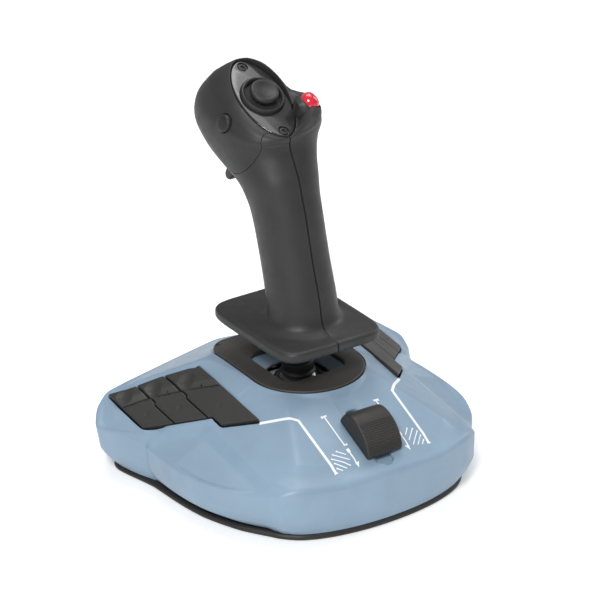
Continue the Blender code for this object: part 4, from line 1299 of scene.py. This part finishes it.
def rim_height(side, drop=0.0):
    """Height of the head's rim over the face; the right side stands higher."""
    def height(along, width):
        bump = smooth_step((along - 12) / 22) * smooth_step((58 - along) / 16)
        raised = RIM_RAISE * bump * smooth_step(width / 5) if side > 0 else 0.0
        return RIM_TOP + 0.5 * smooth_step((along - 30) / 20) + raised - drop
    return height


def grip_solid():
    """The outside of the whole grip, from the hand-rest plate to the rim round
    the face plate."""
    plate = ((1.6, 0.0), (0.9, 0.15), (0.35, 0.6), (0.05, 1.3), (0.0, 2.2), (0.0, 3.7),
             (0.1, 4.6), (0.5, 5.4), (1.2, 5.9), (2.2, PLATE_HIGH - PLATE_LOW))
    rows = []
    for inset, height in plate:
        half = plate_ring(inset, PLATE_LOW + height)
        rows.append((half, half))
    body = []
    for rear, front, half_width in smooth_sections():
        power = 2.25 + 0.3 * smooth_step((rear[1] - 174) / 16)
        half = half_ring(rear, front, half_width, power=power)
        body.append(([shoulder(p) for p in half], half))
    top, foot = rows[-1][0], body[0][0]
    for share in (0.35, 0.7, 0.9):
        half = []
        for p, q in zip(top, foot):
            place = p.lerp(q, share)
            place.z = p.z + (q.z - p.z) * share ** 3
            half.append(place)
        rows.append((half, half))
    rows += body
    last = rows[-1]
    rims = [face_ring(GAP + 0.9, rim_height(side)) for side in (1, -1)]
    for share in (0.4, 0.75):
        bulge = FACE_NORMAL * 0.9 * sin(pi * share)
        right, left = [[p.lerp(q, share) + bulge for p, q in zip(half, rim)]
                       for half, rim in zip(last, rims)]
        ridge = [RIDGE_SIZE * sin(pi * share)
                 * exp(-((p - RIDGE_MIDDLE).length / RIDGE_REACH) ** 2) for p in right]
        rows.append(([p + FACE_NORMAL * up for p, up in zip(right, ridge)], left))
    rows.append(tuple(rims))
    for grow, drop in ((0.45, 0.15), (0.2, 0.6)):
        rows.append(tuple(face_ring(GAP + grow, rim_height(side, drop)) for side in (1, -1)))
    floor = face_ring(GAP + 0.2, lambda along, width: -0.2)
    rows.append((floor, floor))
    return Shape().solid([whole_ring(right, left) for right, left in rows]).outward()


def grip_cavity():
    """The hollow inside the whole grip, a wall's thickness under its surface."""
    halves = [half_ring(rear, front, half_width, GRIP_WALL)
              for rear, front, half_width in SECTIONS[1:10]]
    halves += [half_ring((11.0, 186.8), (72.0, 196.0), 19.0),
               half_ring((13.5, 187.4), (62.0, 204.0), 15.5)]
    return Shape().solid([half + mirrored_half(half) for half in halves]).outward()


def cover_outline(grow=0.0):
    """Side view (y, z) of the head's covers: a round rear edge, open in front."""
    arc = [COVER_CENTRE + Vector((cos(a), sin(a))) * (COVER_R + grow)
           for a in [radians(d) for d in range(135, 256, 3)]]
    below = [(38.0 - 0.7 * grow, 166.5 - 0.7 * grow), (47.0 - 0.7 * grow, 150.0 - 0.7 * grow),
             (50.0 - grow, 140.0)]
    return [tuple(p) for p in arc] + below + [(110, 140), (110, 240), (30, 240)]


def side_prism(outline, low, high):
    """An outline in side view (y, z), pushed along X."""
    return pushed(outline, Vector(), Y_AXIS, Z_AXIS, low, high)


def build_grip():
    cuts = [grip_cavity(),
            turned([(PLATE_BORE_R, 60), (PLATE_BORE_R, 132)], Vector(), Z_AXIS, 48),
            turned([(9.9, -16), (9.9, 9)], face_point(HAT_ALONG), FACE_NORMAL, 48),
            turned([(6.3, -9), (6.3, 14)], RED_CENTRE, RED_AXIS, 48),
            turned([(5.5, -9), (5.5, 9)], SIDE_CENTRE, SIDE_AXIS, 48),
            block((-6, 44, 140), (6, 76, 176.5))]
    whole = grip_solid()
    for side, word in SIDES:
        beside = sorted((side * SPLIT_HALF, side * 60))
        half = block((beside[0], -60, 60), (beside[1], 120, 260))
        for part, node in (("grip", f"grip_{word}_shell"), ("head", f"head_{word}_cover")):
            piece = make(f"{part}_{word}", whole, "charcoal", "handle", [node])
            for cut in cuts:
                carve(piece, cut)
            carve(piece, half, "INTERSECT")
            if part == "grip":
                carve(piece, side_prism(cover_outline(GAP), -70, 70))
            else:
                carve(piece, side_prism(cover_outline(), -70, 70), "INTERSECT")


# ================================================================ head's face and controls
def build_face_plate():
    """The polished teardrop plate with its two screw wells and the hat's mouth."""
    loops = []
    for grow, height in ((0.0, 0.15), (0.0, 1.1), (-0.12, 1.45), (-0.45, 1.72), (-0.8, 1.8)):
        half = face_ring(grow, lambda along, width, high=height: high)
        loops.append(half + mirrored_half(half))
    plate = make("face_plate", Shape().solid(loops).outward(), "gloss", "handle",
                 ["hat_face_plate"])
    carve(plate, turned([(10.0, -5), (10.0, 5)], face_point(HAT_ALONG), FACE_NORMAL, 64))
    for along in SCREW_ALONG:
        carve(plate, turned([(2.9, 0.9), (2.9, 1.3), (3.3, 1.9), (3.3, 5)],
                            face_point(along), FACE_NORMAL, 40))
        carve(plate, turned([(2.6, -5), (2.6, 5)], face_point(along), FACE_NORMAL, 40))


def build_screws():
    """The face plate's two screws, with a six-sided socket each."""
    for along, word in zip(SCREW_ALONG, ("lower", "upper")):
        centre = face_point(along)
        edge = eased_corner((2.4, 0.3), (2.4, 1.5), (0, 1.62), 0.3, 4)
        screw = make(f"face_screw_{word}",
                     turned([(2.4, 0.3), *edge, (0, 1.62)], centre, FACE_NORMAL, 40),
                     "tray", "handle", [f"plate_screw_{word}"])
        carve(screw, turned([(1.25, 0.8), (1.25, 4)], centre, FACE_NORMAL, 6))
        shank = turned([(1.1, 0.4), (1.1, -4.6), (0.3, -5.4)], centre, FACE_NORMAL, 24)
        make(f"face_screw_shank_{word}", shank, "steel", "handle")


def build_hat():
    """The hat switch: a raised collar, and a ribbed cap on its stem."""
    hat = face_point(HAT_ALONG)
    dish = [(10.3, 2.0), (10.35, 3.2), (10.7, 4.0), (11.3, 4.35), (11.9, 4.25), (12.4, 3.6),
            (12.7, 2.6), (12.75, 1.95)]
    make("hat_collar", turned_ring(dish, hat, FACE_NORMAL), "hat", "handle", ["hat_dish"])
    cap = [(6.2, 3.8), (7.4, 4.1), (8.0, 4.8), (8.25, 5.7), (8.2, 6.6), (7.8, 7.4), (7.1, 7.8),
           (6.3, 7.75), (5.2, 7.3), (3.6, 6.85), (1.8, 6.65), (0, 6.6)]
    shape = turned(cap, hat, FACE_NORMAL, 72)
    for place in shape.points:
        out = place - hat
        height = out.dot(FACE_NORMAL)
        flat = out - FACE_NORMAL * height
        if flat.length > 7.0 and height > 4.4:
            turn = atan2(flat.dot(FACE_ALONG), flat.x)
            place -= flat.normalized() * 0.22 * (0.5 + 0.5 * cos(24 * turn))
    make("hat_button", shape, "hat", "hat_cap", ["hat_cap"])
    boot = [(9.8, 0.7), (9.8, 1.5), (8.2, 1.6), (6.0, 1.9), (4.4, 2.3), (4.4, 1.6), (6.0, 1.1),
            (8.2, 0.7)]
    make("hat_boot", turned_ring(boot, hat, FACE_NORMAL), "rubber", "handle")


def red_mount():
    """The raised ground round the red button: a well for it and a leaning outer wall."""
    well = [(5.85, -3.4), (5.85, -0.6), (5.95, -0.35), (6.2, -0.2), (6.45, -0.35), (6.7, -0.9),
            (6.75, -3.8)]
    rings = [circle(RED_CENTRE + RED_AXIS * height, RED_AXIS, radius, 64)
             for radius, height in well]
    top, foot = rings[-1], circle(MOUNT_FOOT, MOUNT_FOOT_AXIS, MOUNT_FOOT_R, 64)
    rings += [[p.lerp(q, share) for p, q in zip(top, foot)] for share in (0.25, 0.5, 0.75, 1.0)]
    return consistent(Shape().solid(rings))


def build_head_buttons():
    red = [(5.6, -1.2), (5.6, 0.8), (5.5, 1.8), (5.15, 3.0), (4.55, 4.0), (3.7, 4.8), (2.6, 5.3),
           (1.3, 5.55), (0, 5.6)]
    make("red_thumb_button", turned(red, RED_CENTRE, RED_AXIS, 64), "red", "red_button",
         ["red_button"])
    make("red_button_collar", red_mount(), "charcoal", "handle")
    small = [(4.9, -4), (4.9, 0.6), (4.75, 1.1), (4.4, 1.45), (3.6, 1.7), (2.0, 1.9), (0, 2.0)]
    make("side_round_button", turned(small, SIDE_CENTRE, SIDE_AXIS, 64), "hat", "side_button",
         ["side_button"])


def build_trigger():
    """The trigger's blade: its profile in side view, rounded along its edges."""
    profile = [(49.5, 176), (58, 176), (60.5, 168), (62, 158), (65.5, 151), (64.5, 147.5),
               (61, 147.5), (57, 153), (52.5, 161), (49, 168)]
    outline = [(p.x, p.y) for p in reversed(smooth_loop([(*q, 0) for q in profile], 6))]
    edge = ((4.6, 1.2), (4.4, 0.6), (3.9, 0.2), (3.3, 0.0))
    slices = [(-x, inset) for x, inset in edge] + list(reversed(edge))
    rings = [[Vector((x, y, z)) for y, z in offset(outline, -inset)] for x, inset in slices]
    blade = make("trigger_blade", Shape().solid(rings).outward(), "charcoal", "trigger",
                 ["trigger"])
    carve(blade, turned([(1.9, -12), (1.9, 12)], TRIGGER_PIVOT, X_AXIS, 32))


# ================================================================ cable
CABLE_R = 2.1
CABLE_LEVEL = 0.7              # share of its length that runs level


def build_cable():
    """The lead's first stretch, with a ribbed sleeve where it leaves the base."""
    low, high = node_box("cable_strain_relief")
    middle = (low + high) / 2
    section = [(2.6, low.y), (4.0, low.y), (4.0, low.y + 9.8), (5.2, low.y + 10.4),
               (5.2, low.y + 11.8)]
    for k in range(5):
        near = low.y + 12.4 + 1.9 * k
        radius = 4.6 - 0.3 * k
        section += [(radius - 0.7, near), (radius, near + 0.35), (radius, near + 1.0),
                    (radius - 0.7, near + 1.35)]
    section += [(3.2, high.y), (2.6, high.y)]
    centre = Vector((middle.x, 0, middle.z))
    make("cable_sleeve", turned_ring(section, centre, Y_AXIS, 40), "rubber", "base",
         ["cable_strain_relief"])
    wire_low, wire_high = node_box("usb_cable")
    reach = wire_high.y - wire_low.y
    drop = middle.z - CABLE_R - wire_low.z
    path = []
    for k in range(49):
        t = k / 48
        fall = max(0.0, (t - CABLE_LEVEL) / (1 - CABLE_LEVEL)) ** 1.6
        path.append(Vector((middle.x, wire_low.y + reach * t, middle.z - drop * fall)))
    make("cable", swept(path, CABLE_R), "rubber", "base", ["usb_cable"])


def finish_frame_nodes():
    """Gives every frame node that is still shown a procedural material."""
    finish_by_slot = {
        "blue_shell": "blue", "charcoal_plastic": "charcoal", "tray_plastic": "tray",
        "gloss_plastic": "gloss", "red_gloss": "red", "black_rubber": "rubber",
        "steel": "steel", "nylon": "nylon", "circuit_board": "board",
    }
    slots = {part["node"]: part["material_slot"] for part in frame["record"]["subparts"]}
    for name, node in frame["nodes"].items():
        finish = finish_of(finish_by_slot[slots[name]])
        node.data.materials.clear()
        node.data.materials.append(finish)


# ================================================================ stage
CAMERA_PLACE = Vector((-0.8325, -1.2225, 0.8129))
CAMERA_TARGET = Vector((0.00144, 0.0, 0.0962))


SOFTBOX_EDGE = (Vector((-0.008, 0.0218, 0.1954)), Vector((0.0096, 0.0446, 0.2088)))
SOFTBOX_SIZE = (0.36, 0.6)
SOFTBOX_AWAY = 0.7
# name, place, target, size (all in metres) and power
LIGHTS = (
    ("top", (0.15, 0.45, 1.3), (0, 0, 0.05), (0.8, 0.6), 5.0),
    ("key", (-0.8, -0.75, 1.1), (0, 0, 0.06), (0.45, 0.45), 15.5),
    ("right", (1.1, 0.0, 0.6), (0, 0, 0.08), (0.3, 0.6), 3.0),
)
FLOOR_REACH = 3.0
FLOOR_DROP = 0.0002


def area_light(name, place, size, power):
    light = bpy.data.lights.new(name, "AREA")
    light.shape = "RECTANGLE"
    light.size, light.size_y = size
    light.energy = power
    lamp = bpy.data.objects.new(name, light)
    lamp.location = place
    bpy.context.scene.collection.objects.link(lamp)
    return lamp


def aim(piece, place, target):
    """Turns a light or the camera at a place towards a target."""
    piece.rotation_euler = (Vector(target) - Vector(place)).to_track_quat("-Z", "Y").to_euler()


def plate_softbox():
    """A dim softbox whose straight edge is mirrored across the polished face plate."""
    low, high = SOFTBOX_EDGE
    ray = (high - CAMERA_PLACE).normalized()
    away = ray - FACE_NORMAL * 2 * ray.dot(FACE_NORMAL)
    along = (high - low).normalized()
    across = along.cross(FACE_NORMAL).normalized()
    place = high + away * SOFTBOX_AWAY - across * SOFTBOX_SIZE[0] / 2
    lamp = area_light("plate_softbox", place, SOFTBOX_SIZE, 1.6)
    lamp.rotation_euler = Matrix((across, along, FACE_NORMAL)).transposed().to_euler()


def build_stage():
    scene = bpy.context.scene
    floor = bpy.data.meshes.new("floor")
    corners = rectangle((-FLOOR_REACH, -FLOOR_REACH), (FLOOR_REACH, FLOOR_REACH))
    floor.from_pydata([(*corner, -FLOOR_DROP) for corner in corners], [], [(0, 1, 2, 3)])
    plane = bpy.data.objects.new("floor", floor)
    scene.collection.objects.link(plane)
    pale = bpy.data.materials.new("pale_floor")
    pale.use_nodes = True
    shader = pale.node_tree.nodes["Principled BSDF"]
    shader.inputs["Base Color"].default_value = (0.93, 0.93, 0.93, 1.0)
    shader.inputs["Roughness"].default_value = 0.9
    shader.inputs["Emission Color"].default_value = (1, 1, 1, 1)
    shader.inputs["Emission Strength"].default_value = 0.22
    floor.materials.append(pale)

    world = bpy.data.worlds.new("studio")
    world.use_nodes = True
    world.node_tree.nodes["Background"].inputs["Color"].default_value = (1, 1, 1, 1)
    world.node_tree.nodes["Background"].inputs["Strength"].default_value = 0.33
    scene.world = world
    for name, place, target, size, power in LIGHTS:
        aim(area_light(name, place, size, power), place, target)
    plate_softbox()

    lens = bpy.data.cameras.new("camera")
    lens.lens = 180
    lens.sensor_width = 36
    lens.clip_end = 20
    camera = bpy.data.objects.new("camera", lens)
    camera.location = CAMERA_PLACE
    aim(camera, CAMERA_PLACE, CAMERA_TARGET)
    scene.collection.objects.link(camera)
    scene.camera = camera
    scene.view_settings.view_transform = "Standard"


def main():
    build_top_shell()
    build_bezel()
    build_dish()
    build_tray()
    build_wing_buttons()
    build_throttle()
    build_print()
    build_stick()
    build_grip()
    build_face_plate()
    build_screws()
    build_hat()
    build_head_buttons()
    build_trigger()
    build_cable()
    finish_frame_nodes()
    build_stage()


main()
